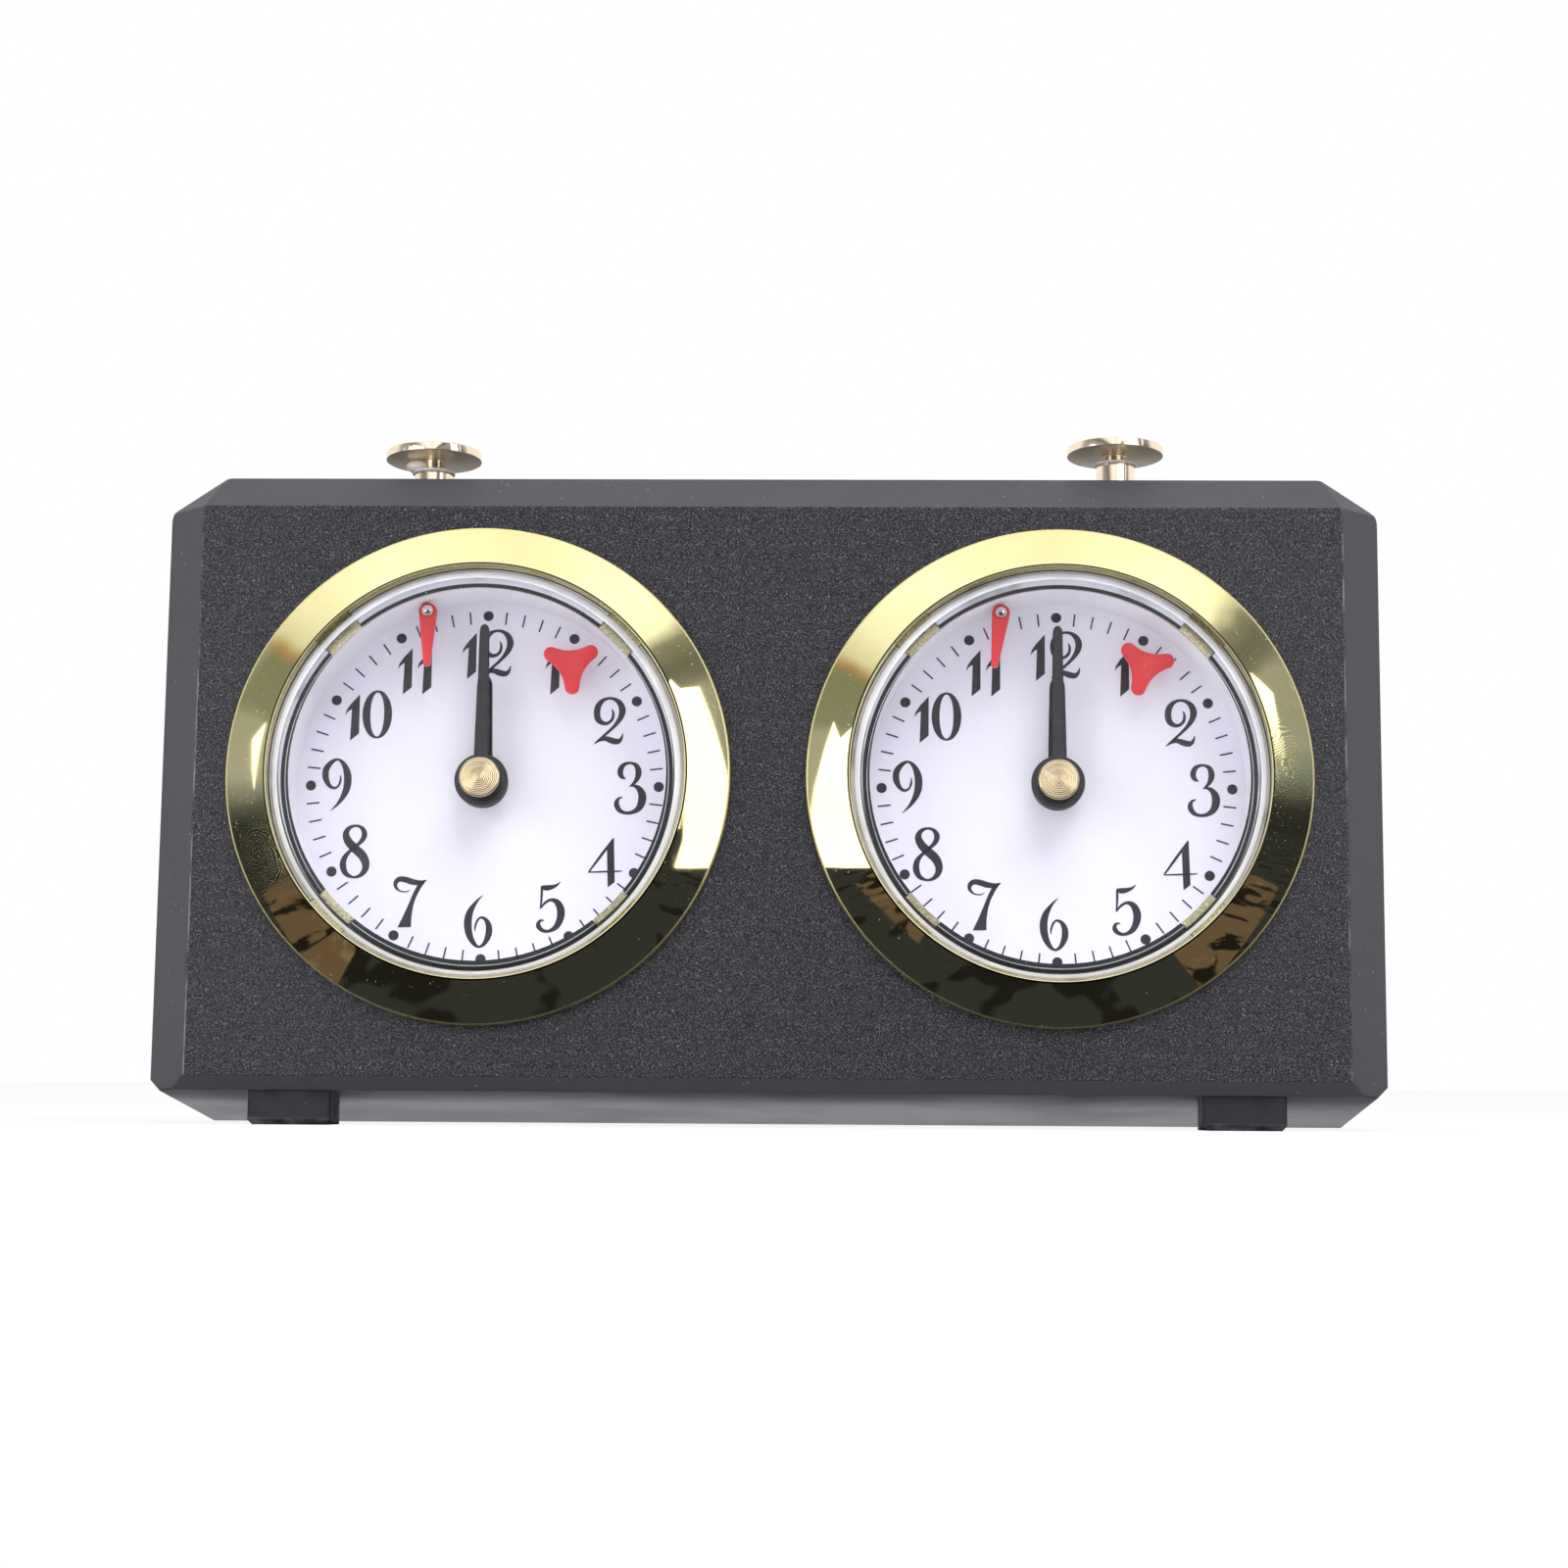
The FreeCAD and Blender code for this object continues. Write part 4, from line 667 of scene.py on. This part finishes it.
# Each numeral is drawn in its own box, in millimetres from its lower left: strokes are points
# (across, up, width) on a smooth line, closed ones come back to their start, and flats are
# straight sided outlines (across, up).
NUMERALS = {
    "0": [("closed", [(2.27, 7.47, 0.31), (3.12, 6.98, 0.63), (3.74, 5.64, 0.99),
        (3.96, 3.81, 1.15), (3.74, 1.98, 0.99), (3.12, 0.64, 0.63), (2.27, 0.15, 0.31),
        (1.42, 0.64, 0.63), (0.8, 1.98, 0.99), (0.57, 3.81, 1.15), (0.8, 5.64, 0.99),
        (1.42, 6.98, 0.63)])],
    "1": [("flat", [(2.23, 7.4), (2.23, 1.16), (0.84, 0.0), (1.01, 5.02), (0.51, 4.72),
        (0.0, 4.07), (0.2, 4.9), (0.89, 5.93)])],
    "2": [("stroke", [(2.89, 5.66, 0.15), (3.09, 4.94, 0.36), (2.94, 4.06, 0.43),
        (2.33, 3.47, 0.46), (1.55, 3.42, 0.61), (0.79, 3.98, 0.87), (0.55, 5.02, 0.95),
        (0.75, 6.15, 0.87), (1.4, 6.98, 0.61), (2.3, 7.36, 0.38), (3.3, 7.22, 0.51),
        (4.12, 6.56, 0.82), (4.5, 5.53, 0.97), (4.28, 4.42, 0.82), (3.57, 3.29, 0.56),
        (2.6, 2.26, 0.42), (1.42, 1.18, 0.38), (0.35, 0.28, 0.2)]), ("stroke", [(0.15, 0.1, 0.1),
        (1.04, 0.7, 0.36), (1.98, 0.97, 0.7), (2.94, 0.66, 0.9), (3.82, 0.52, 0.8),
        (4.38, 0.95, 0.46), (4.66, 1.79, 0.1)])],
    "3": [("stroke", [(1.72, 5.61, 0.15), (1.16, 5.92, 0.61), (0.88, 6.62, 0.82),
        (1.11, 7.47, 0.74), (1.72, 7.98, 0.51), (2.55, 8.11, 0.36), (3.34, 7.73, 0.66),
        (3.7, 6.93, 0.87), (3.65, 6.03, 0.82), (3.19, 5.12, 0.51), (2.38, 4.38, 0.13)]),
        ("stroke", [(2.33, 4.4, 0.1), (2.98, 4.53, 0.36), (3.75, 4.15, 0.75), (4.3, 3.24, 1.1),
        (4.33, 2.11, 1.15), (3.85, 1.0, 0.9), (2.88, 0.36, 0.56), (1.79, 0.25, 0.46),
        (0.91, 0.62, 0.66), (0.45, 1.34, 0.77), (0.42, 2.01, 0.64), (0.76, 2.52, 0.36),
        (1.29, 2.73, 0.18)])],
    "4": [("flat", [(3.9, 7.83), (4.13, 0.82), (3.04, 0.0), (2.84, 5.88)]),
        ("stroke", [(3.85, 7.63, 0.31), (1.98, 5.05, 0.4), (0.13, 2.47, 0.25)]),
        ("stroke", [(0.0, 2.37, 0.2), (2.79, 2.47, 0.26), (4.82, 2.55, 0.2), (5.27, 2.6, 0.08)])],
    "5": [("stroke", [(0.73, 7.28, 0.2), (1.29, 7.02, 0.77), (2.13, 7.08, 0.71),
        (3.01, 7.39, 0.38), (3.67, 7.95, 0.1)]), ("stroke", [(0.81, 7.18, 0.36),
        (0.79, 5.38, 0.33), (0.66, 3.73, 0.2)]), ("stroke", [(0.66, 3.73, 0.15),
        (1.29, 4.6, 0.36), (2.25, 5.14, 0.45), (3.22, 4.76, 0.86), (3.78, 3.65, 1.1),
        (3.75, 2.28, 1.05), (3.12, 0.94, 0.8), (2.0, 0.27, 0.46), (1.04, 0.38, 0.55),
        (0.45, 0.94, 0.69), (0.38, 1.46, 0.56), (0.7, 1.9, 0.36), (1.24, 1.92, 0.15)])],
    "6": [("stroke", [(2.81, 8.19, 0.1), (1.85, 7.19, 0.41), (0.91, 5.64, 0.92),
        (0.59, 3.92, 1.12), (0.84, 2.16, 0.97), (1.52, 0.8, 0.66), (2.33, 0.18, 0.36),
        (3.19, 0.67, 0.56), (3.82, 2.04, 0.92), (3.85, 3.4, 0.87), (3.38, 4.38, 0.56),
        (2.64, 4.74, 0.33), (2.08, 4.28, 0.31), (1.77, 3.4, 0.28), (1.72, 2.58, 0.1)])],
    "7": [("stroke", [(2.64, 5.9, 0.08), (2.06, 5.59, 0.18), (1.04, 5.69, 0.23),
        (0.38, 6.31, 0.46), (0.36, 7.05, 0.66), (0.94, 7.55, 0.75), (1.93, 7.45, 0.85),
        (3.07, 7.1, 0.85), (4.13, 7.05, 0.6), (5.1, 7.4, 0.13)]), ("flat", [(5.1, 7.4),
        (4.29, 6.24), (3.58, 4.82), (3.15, 3.4), (2.92, 1.73), (2.89, 0.05), (0.79, 0.0),
        (1.42, 1.34), (2.31, 3.4), (3.12, 5.46), (3.83, 6.88)])],
    "8": [("closed", [(2.21, 4.72, 1.28), (3.42, 3.6, 1.28), (4.0, 2.31, 1.1), (3.8, 1.15, 0.84),
        (3.02, 0.38, 0.51), (2.08, 0.2, 0.36), (1.03, 0.69, 0.7), (0.5, 1.8, 0.92),
        (0.63, 3.08, 0.8), (1.4, 4.17, 0.51), (2.51, 5.14, 0.46), (3.42, 6.1, 0.7),
        (3.68, 7.08, 0.8), (3.2, 7.95, 0.53), (2.26, 8.26, 0.36), (1.28, 7.88, 0.61),
        (0.8, 6.95, 0.92), (1.22, 5.79, 1.17)])],
    "9": [("stroke", [(1.52, 0.04, 0.1), (2.71, 1.27, 0.46), (3.67, 2.92, 0.92),
        (4.0, 4.42, 1.09), (3.9, 5.96, 1.04), (3.34, 7.33, 0.71), (2.45, 8.1, 0.33),
        (1.46, 7.72, 0.63), (0.62, 6.61, 0.9), (0.54, 5.32, 0.92), (1.04, 4.14, 0.63),
        (1.82, 3.6, 0.41), (2.53, 3.9, 0.31), (2.88, 4.8, 0.31), (2.86, 5.65, 0.1)])],
}
# where each figure's lower left corner stands on the dial, from the dial's centre
FIGURES = [("1", -4.0, 17.0), ("2", -1.0, 17.35), ("1", 9.05, 14.55), ("2", 16.72, 6.63),
           ("3", 20.17, -4.35), ("4", 16.36, -15.8), ("5", 8.43, -22.92), ("6", -2.69, -25.33),
           ("7", -13.76, -22.21), ("8", -22.17, -14.58), ("9", -25.35, -3.98),
           ("1", -22.04, 7.11), ("0", -19.31, 7.5), ("1", -14.0, 14.5), ("1", -10.95, 14.5)]


def smooth_line(points, closed, steps=8):
    """Catmull-Rom line through the points: each span blends four neighbours with cubic weights."""
    p = np.asarray(points, float)
    p = np.vstack([p[-1:], p, p[:2]]) if closed else np.vstack([2 * p[0] - p[1], p,
                                                                2 * p[-1] - p[-2]])
    t = np.linspace(0, 1, steps, endpoint=False)[None, :, None]
    a, b, c, d = p[:-3, None], p[1:-2, None], p[2:-1, None], p[3:, None]
    line = 0.5 * (2 * b + (c - a) * t + (2 * a - 5 * b + 4 * c - d) * t ** 2
                  + (3 * b - a - 3 * c + d) * t ** 3)
    line = line.reshape(-1, p.shape[1])
    return np.vstack([line, line[:1] if closed else p[-2:-1]])


def ribbon(points, closed):
    """A stroke's two edges: the smooth line moved half its width to either side, square to the
    way it runs."""
    line = smooth_line(points, closed)
    run = np.gradient(line[:, :2], axis=0)
    if closed:
        run[0] = run[-1] = run[0] + run[-1]
    run /= np.linalg.norm(run, axis=1)[:, None]
    out_from = np.stack([-run[:, 1], run[:, 0]], 1) * np.maximum(1.08 * line[:, 2:], 0.08) / 2
    return line[:, :2] + out_from, line[:, :2] - out_from


def facing_front(outlines):
    """Each outline of an array (outlines, corners, across and up) runs anticlockwise: where
    the sum of its corners' cross products is negative, its corners are taken backwards."""
    across, up = outlines[..., 0], outlines[..., 1]
    area = (across * np.roll(up, -1, 1) - up * np.roll(across, -1, 1)).sum(1)
    return np.where((area > 0)[:, None, None], outlines, outlines[:, ::-1])


PRINT_Y = 9.57
TRACK_IN, TRACK_OUT, TICK_HALF, DOT_AT, DOT_R = 25.8, 27.8, 0.125, 27.07, 0.8
minutes = np.arange(60)
angle = np.radians(6 * minutes)[:, None]
out_way = np.stack([np.sin(angle), np.cos(angle)], -1)
side_way = np.stack([np.cos(angle), -np.sin(angle)], -1)
ends = np.array([TRACK_IN, TRACK_OUT, TRACK_OUT, TRACK_IN])[:, None]
halves = np.array([-TICK_HALF, -TICK_HALF, TICK_HALF, TICK_HALF])[:, None]
round_way = np.linspace(0, 2 * np.pi, 28, endpoint=False)
dot = DOT_R * np.stack([np.sin(round_way), np.cos(round_way)], 1)
shapes = [(out_way * ends + side_way * halves)[minutes % 5 > 0],
          out_way[minutes % 5 == 0] * DOT_AT + dot]
for figure, x, z in FIGURES:
    for kind, line in NUMERALS[figure]:
        if kind == "flat":
            shapes.append(np.array([line]) + (x, z))
            continue
        one, two = ribbon(line, kind == "closed")
        shapes.append(np.stack([one[:-1], one[1:], two[1:], two[:-1]], 1) + (x, z))
shapes = [facing_front(shape) for shape in shapes]
flat = np.concatenate([shape.reshape(-1, 2) for shape in shapes])
faces, base = [], 0
for shape in shapes:
    index = np.arange(shape[..., 0].size) + base
    faces += index.reshape(shape.shape[:2]).tolist()
    base += len(index)
for side, s in SIDES.items():
    points = np.stack([flat[:, 0] + s * DIAL_X, 0 * flat[:, 0] + PRINT_Y, flat[:, 1] + DIAL_Z], 1)
    mesh = bpy.data.meshes.new(side + "_dial_print")
    mesh.from_pydata(on_table(points).tolist(), [], faces)
    fit(side + "_dial_print", mesh, ink, "case", "black_enamel")

# --- Flags and tick indicators. Both are moulded in red plastic that lets a little light through.
# A flag hangs from a nickel pin beside the twelve; the indicator sits on the escape arbor.


def plate(outline, y0, y1, edge, fan_from, steps=4):
    """A flat piece with rounded front edges: its outline carried from back to front, drawn in
    along its normals by edge times one minus the cosine as it nears the front, then closed."""
    outline = np.asarray(outline, float)
    run = np.roll(outline, -1, 0) - np.roll(outline, 1, 0)
    run /= np.linalg.norm(run, axis=1)[:, None]
    inward = np.stack([-run[:, 1], run[:, 0]], 1)
    across, up = outline.T
    area = np.sum(across * np.roll(up, -1) - up * np.roll(across, -1))
    inward *= 1 if area > 0 else -1
    bend = np.linspace(0, np.pi / 2, steps + 1)
    inset = np.concatenate([[0], edge * (1 - np.cos(bend))])[:, None, None]
    depth = np.concatenate([[y1, y1], y0 + edge * (1 - np.sin(bend)), [y0]])[:, None]
    flat = outline + inward * inset
    point = flat[:1] * 0 + fan_from
    flat = np.concatenate([point, flat, point])
    return np.stack([flat[..., 0], 0 * flat[..., 0] + depth, flat[..., 1]], -1)


def spun(points, angle):
    """Flat points turned about the origin, so across and up mix as the cosine and sine."""
    c, s = math.cos(angle), math.sin(angle)
    return points @ np.array([[c, s], [-s, c]])


red, tree, shader = finish("signal_red", IOR=1.49, Subsurface_Weight=0.25,
                           Subsurface_Radius=(0.003, 0.0006, 0.0005), Subsurface_Scale=0.4)
worn = use(tree, handling, Size=0.004)
speck = use(tree, grain, Size=0.0003, Cover=0.5)
# painted sheen: the red turns pale pink where the surface is seen edge on
glancing_sheen = node(tree, "LayerWeight", ("Blend", 0.35)).outputs["Facing"]
face = mixed(tree, worn["Smear"], (0.68, 0.034, 0.042), (0.74, 0.060, 0.058))
coloured(tree, shader, span(tree, glancing_sheen, 0.35, 0.9, 0.0, 0.6), face, (0.93, 0.32, 0.30))
bumped(tree, shader, speck["Height"], 0.4, 0.00004)
roughened(tree, shader, worn["Smear"], 0.28, 0.4)

FLAG_AT, FLAG_LEN, HEAD_R, TIP_R = np.array([-8.75, 26.3]), 8.6, 1.40, 0.55
FLAG_FRONT, FLAG_BACK, FLAG_EDGE = 2.75, 3.85, 0.3
FLAG_HANG = {"left": 0.0, "right": 6.9}     # degrees aside from straight down
drop_len = FLAG_LEN - TIP_R
taper = math.asin((HEAD_R - TIP_R) / drop_len)
top = np.linspace(-taper, math.pi + taper, 33)
toe = np.linspace(math.pi + taper, 2 * math.pi - taper, 17)
drop = np.concatenate([HEAD_R * np.stack([np.cos(top), np.sin(top)], 1),
                       TIP_R * np.stack([np.cos(toe), np.sin(toe)], 1) - (0, drop_len)])

# a third of the indicator: the round end of a lobe, then the hollow arc that leads to the next
TICK_AT, TICK_TURN = np.array([13.45, 18.55]), {"left": 33, "right": 14}
TICK_FRONT, TICK_BACK, TICK_EDGE, BOSS_R, BOSS_BACK = 5.25, 6.05, 0.32, 1.6, 6.85
LOBE_AT, LOBE_R, WAIST = 3.55, 1.15, 2.2
SIXTH = math.pi / 3
arc_at = (LOBE_AT ** 2 - (WAIST - LOBE_R) ** 2) / (LOBE_AT - 2 * (WAIST - LOBE_R))
meet = math.atan2(arc_at * math.sin(SIXTH), arc_at * math.cos(SIXTH) - LOBE_AT)
lobe = np.linspace(-meet, meet, 25)
bay = np.linspace(math.pi + meet, math.pi + 2 * SIXTH - meet, 25)[1:-1]
round_end = (LOBE_AT, 0) + LOBE_R * np.stack([np.cos(lobe), np.sin(lobe)], 1)
hollow = (arc_at * np.array([math.cos(SIXTH), math.sin(SIXTH)]) + (arc_at - WAIST)
          * np.stack([np.cos(bay), np.sin(bay)], 1))
third = np.concatenate([round_end, hollow])

for side, s in SIDES.items():
    dial = np.array([s * DIAL_X, DIAL_Z])
    hung = spun(drop, -math.radians(FLAG_HANG[side])) + FLAG_AT + dial
    flag = plate(hung, FLAG_FRONT, FLAG_BACK, FLAG_EDGE, FLAG_AT + dial)
    put(side + "_flag_drop", [flag], red, side + "_flag", "red_plastic", side + "_flag")

    turns = np.radians([TICK_TURN[side] + k for k in (0, 120, 240)])
    web = np.concatenate([spun(third, way) for way in turns]) + TICK_AT + dial
    spin = plate(web, TICK_FRONT, TICK_BACK, TICK_EDGE, TICK_AT + dial)
    boss = lathe([(0, TICK_BACK - 0.01), (BOSS_R, TICK_BACK - 0.01), (BOSS_R, BOSS_BACK),
                  (0, BOSS_BACK)], (dial[0] + TICK_AT[0], 0, dial[1] + TICK_AT[1]), 48)
    put(side + "_spinner", [spin, boss], red, side + "_escape", "red_plastic",
        side + "_tick_indicator")

nickel = metal("nickel_plate", (0.80, 0.79, 0.76), (0.68, 0.67, 0.64), (0.10, 0.2))
PIN_HEAD_R, PIN_R, PIN_HEAD_Y, PIN_END = 0.92, 0.5, 2.65, 15.5
bend = np.linspace(0, 1.48, 12)
dome = np.stack([PIN_HEAD_R * np.sin(bend), PIN_HEAD_Y - PIN_HEAD_R * np.cos(bend)], 1)
shank = [(0.9, PIN_HEAD_Y + 0.07), (PIN_R, PIN_HEAD_Y + 0.07), (PIN_R, PIN_END), (0, PIN_END)]
pins = [lathe(np.concatenate([dome, shank]), (s * DIAL_X + FLAG_AT[0], 0, DIAL_Z + FLAG_AT[1]), 48)
        for s in SIDES.values()]
put("flag_pin_pair", pins, nickel, "case", "nickel", "flag_pins")

# --- Hands. Stamped steel, lacquered black, with bevelled edges that catch the light. The minute
# hand is pressed on the centre arbor under a brass cap turned on a lathe.
lacquer, tree, shader = finish("hand_lacquer", IOR=1.52)
worn = use(tree, handling, Size=0.004)
coloured(tree, shader, calc(tree, "*", worn["Dust"], 0.3), (0.014, 0.014, 0.018), (0.3, 0.3, 0.3))
roughened(tree, shader, worn["Smear"], 0.16, 0.28)
bumped(tree, shader, worn["Scratch"], 0.4, -0.00001)

HAND_T, HAND_EDGE, HOUR_Y, HAND_SHARP = 0.48, 0.18, 6.2, 20
CAP_R, CAP_FRONT = 3.12, 1.28


def hand(centre, front, length, root, tip, hub):
    """A hand's outline: a round hub, then a blade whose half width falls in a straight line
    from root to tip, and a short rounded end."""
    start = math.asin(root / 2 / hub)
    hub_way = np.linspace(start, 2 * math.pi - start, 61)
    ring = hub * np.stack([np.sin(hub_way), np.cos(hub_way)], 1)
    end = np.linspace(-math.pi / 2, math.pi / 2, 13)
    nose = np.stack([tip / 2 * np.sin(end), length - tip * 0.75 + tip * 0.75 * np.cos(end)], 1)
    outline = np.concatenate([ring, nose]) + (centre[0], centre[2])
    return plate(outline, front, front + HAND_T, HAND_EDGE, (centre[0], centre[2]), 1)


# turned marks: fine rings about an axis that runs into the clock, as a height and a shade
turned, given, out = effect("turned_marks", {"Place": "Vector", "Pitch": "Float"},
                            {"Height": "Float", "Shade": "Float"})
seat = upright_seat(turned)
off = node(turned, "VectorMath", (0, seat), (1, given["Place"]), operation="SUBTRACT").outputs[0]
flat = node(turned, "VectorMath", (0, off), (1, (1, 0, 1)), operation="MULTIPLY").outputs[0]
away = node(turned, "VectorMath", (0, flat), operation="LENGTH").outputs["Value"]
step = calc(turned, "/", away, given["Pitch"])
uneven = node(turned, "TexNoise", ("W", step), ("Scale", 0.9), ("Detail", 2.0),
              noise_dimensions="1D").outputs[0]
wire(turned, out["Height"],
     calc(turned, "+", uneven,
          calc(turned, "*", calc(turned, "SINE", calc(turned, "*", step, 2 * math.pi)), 0.3)))
wire(turned, out["Shade"], uneven)


def turned_brass(name, place, pitch=0.00028, depth=0.00006, colour=(0.95, 0.76, 0.48)):
    """Brass faced on a lathe, so its rings spread each highlight into a fan."""
    made, tree, shader = finish(name, Metallic=1.0)
    worn = use(tree, handling, Size=0.004)
    marks = use(tree, turned, Place=place, Pitch=pitch)
    tone = mixed(tree, marks["Shade"], colour, tuple(0.82 * c for c in colour))
    coloured(tree, shader, calc(tree, "*", worn["Smear"], 0.3), tone, (0.62, 0.45, 0.24))
    bumped(tree, shader, marks["Height"], 0.9, depth)
    roughened(tree, shader, worn["Smear"], 0.14, 0.20)
    return made


for side, s in SIDES.items():
    centre = (s * DIAL_X, 0, DIAL_Z)
    minute = hand(centre, MINUTE_Y, length=24.6, root=2.1, tip=1.5, hub=4.13)
    put(side + "_minute_blade", [minute], lacquer, side + "_hands", "black_enamel",
        side + "_minute_hand", sharp=HAND_SHARP)
    hour = hand(centre, HOUR_Y, length=17.0, root=2.9, tip=2.4, hub=4.0)
    put(side + "_hour_blade", [hour], lacquer, side + "_hour", "black_enamel", side + "_hour_hand",
        sharp=HAND_SHARP)
    cap = eased([(0, CAP_FRONT), (CAP_R, CAP_FRONT), (CAP_R, MINUTE_Y - 0.01),
                 (0, MINUTE_Y - 0.01)], 0.3, 4)
    put(side + "_cap_turned", [lathe(cap, centre, 96)],
        turned_brass(side + "_cap_brass", upright_place(centre)), side + "_hands", "brass",
        side + "_hand_cap")

# --- Rocker and buttons. A steel bar on a boss of the case carries two gilt mushroom buttons, each
# turned in one piece with its stem. A milky washer rings each stem, and a lump of set glue
# sits beside the left neck.
steel = metal("bright_steel", (0.60, 0.61, 0.63), (0.45, 0.45, 0.46), (0.22, 0.38))
dress(steel, "rocker", "left_brake_lever", "right_brake_lever", "left_pallet_lever",
      "right_pallet_lever", "left_click", "right_click", "left_winding_arbor",
      "right_winding_arbor")

button_gilt = metal("button_gilt", (0.97, 0.82, 0.62), (0.92, 0.75, 0.55), (0.09, 0.15),
                    marks=0.00001)
milky, tree, shader = finish("milky_washer", IOR=1.5, Subsurface_Weight=0.3,
                             Subsurface_Radius=(0.002, 0.0015, 0.001), Subsurface_Scale=0.5)
cloud = noise(tree, own_place(tree), 700.0)
coloured(tree, shader, cloud, (0.97, 0.90, 0.83), (0.93, 0.82, 0.73))
roughened(tree, shader, cloud, 0.25, 0.4)
wire(tree, shader.inputs["Alpha"], span(tree, cloud, 0.3, 0.7, 0.97, 0.75))
BUTTON_X, BUTTON_Y, BUTTON_R, REST_RISE = 53.8, 11.8, 7.56, 0.475
HEAD_UNDER, HEAD_T, STEM_R, NECK_R, STEM_END = 101.28, 1.3, 3.0, 1.7, 84.1
NECK_LEN = {"left": 2.3, "right": 1.6}
WASHER_T = {"left": 0.65, "right": 0.42}
GLUE_R, GLUE_AT = (1.7, 1.5, 1.1), (-2.45, -0.9, -1.12)
# the flat under each head is rougher, as the tool left it, and lighter and warmer: painted light
# lifting the shade under the head
tree = button_gilt.node_tree
shader = tree.nodes["Principled BSDF"]
axes = node(tree, "SeparateXYZ", (0, upright_seat(tree))).outputs
lifted = calc(tree, "*", calc(tree, "SIGN", axes["X"]), REST_RISE / 1000)
above = calc(tree, "-", calc(tree, "-", axes["Z"], lifted),
             upright_place([0, BUTTON_Y, HEAD_UNDER])[2])
rough_lit_underside = span(tree, calc(tree, "ABSOLUTE", above), 0.00008, 0.00016, 1.0, 0.0)
coloured(tree, shader, rough_lit_underside, shader.inputs["Base Color"].links[0].from_socket, (1.0, 0.90, 0.70))
wire(tree, shader.inputs["Roughness"],
     calc(tree, "+", shader.inputs["Roughness"].links[0].from_socket,
          calc(tree, "*", rough_lit_underside, 0.32)))
for side, s in SIDES.items():
    under, end = HEAD_UNDER + s * REST_RISE, STEM_END + s * REST_RISE
    shoulder, top = under - NECK_LEN[side], under + HEAD_T
    profile = eased([(0, end), (STEM_R, end), (STEM_R, shoulder), (NECK_R, shoulder),
                     (NECK_R, under), (BUTTON_R, under), (BUTTON_R, top),
                     (BUTTON_R * 0.6, top + 0.42), (0, top + 0.6)], 0.14, 4)
    centre = (s * BUTTON_X, BUTTON_Y, 0)
    inner, tall = NECK_R + 0.05, WASHER_T[side]
    washer = eased([(inner, shoulder + 0.02), (STEM_R + 0.25, shoulder + 0.02),
                    (STEM_R + 0.45, shoulder + tall / 2), (STEM_R + 0.1, shoulder + tall),
                    (inner, shoulder + tall)], 0.5, 4)
    soft = [lathe(washer, centre, 64, upright=True)]
    if side == "left":
        # an egg whose waist swells and shrinks three times on the way round
        rise = np.linspace(-np.pi / 2, np.pi / 2, 25)[:, None]
        round_way = np.linspace(0, 2 * np.pi, 48, endpoint=False)[None, :]
        waist = (1 + 0.07 * np.sin(3 * round_way + 1) * np.cos(rise) ** 2) * np.cos(rise)
        lump = np.stack([waist * np.sin(round_way), waist * np.cos(round_way),
                         np.sin(rise) + 0 * round_way], -1)
        soft.append(lump * GLUE_R + GLUE_AT + (0, 0, under) + centre)
    put(side + "_button_turned", [lathe(profile, centre, 128, upright=True)], button_gilt,
        side + "_button", "brass", side + "_button")
    put(side + "_stem_washer", soft, milky, side + "_button", "white_plastic")

# --- Movements. Each dial has its own train between two brass plates on four pillars: cut brass
# wheels on steel arbors, a wound mainspring and a hairspring of blued steel.


def grained_brass(name, colour, turn_by):
    """Brass drawn one way over an abrasive: noise stretched into lines, with dull patches."""
    made, tree, shader = finish(name, Metallic=1.0)
    drawn = node(tree, "Mapping", ("Vector", own_place(tree)),
                 ("Rotation", (0, turn_by, 0))).outputs[0]
    drawn = node(tree, "Mapping", ("Vector", drawn), ("Scale", (0.03, 1, 1))).outputs[0]
    lines = noise(tree, drawn, 7000.0, 3.0)
    worn = use(tree, handling, Size=0.008)
    tone = mixed(tree, lines, colour, tuple(0.8 * c for c in colour))
    coloured(tree, shader, calc(tree, "*", worn["Smear"], 0.5), tone, (0.50, 0.36, 0.19))
    bumped(tree, shader, lines, 0.5, 0.00002)
    roughened(tree, shader, worn["Smear"], 0.25, 0.42)
    return made


dress(grained_brass("plate_brass", (0.83, 0.65, 0.36), 0.0), "front_plates", "back_plates")
dress(grained_brass("pillar_brass", (0.86, 0.68, 0.38), 1.2), "pillars")
dress(grained_brass("wheel_brass", (0.88, 0.68, 0.36), 0.7),
      *[side + "_" + name for side in SIDES
        for name in ("great_wheel", "centre_wheel", "third_wheel", "fourth_wheel", "escape_wheel",
                     "hour_wheel", "minute_wheel", "balance_wheel")])
blued, tree, shader = finish("blued_steel", Metallic=1.0)
heat = noise(tree, own_place(tree), 240.0, 3.0)
coloured(tree, shader, heat, (0.06, 0.10, 0.30), (0.18, 0.14, 0.30))
roughened(tree, shader, heat, 0.2, 0.35)
dress(blued, "mainsprings", "hairsprings")

# --- Keys and knobs at the back. Each movement winds with a brass butterfly key, and its hands are
# set by a fluted knob on the centre arbor. Handling has dulled the keys in patches.
for side, s in SIDES.items():
    place = upright_place([s * DIAL_X, 0, DIAL_Z])
    dress(turned_brass(side + "_knob_brass", place, 0.0003, 0.00004, (0.82, 0.63, 0.34)),
          side + "_hand_arbor")
dress(metal("key_brass", (0.84, 0.66, 0.36), (0.58, 0.43, 0.22), (0.20, 0.36)), "left_winding_key",
      "right_winding_key")
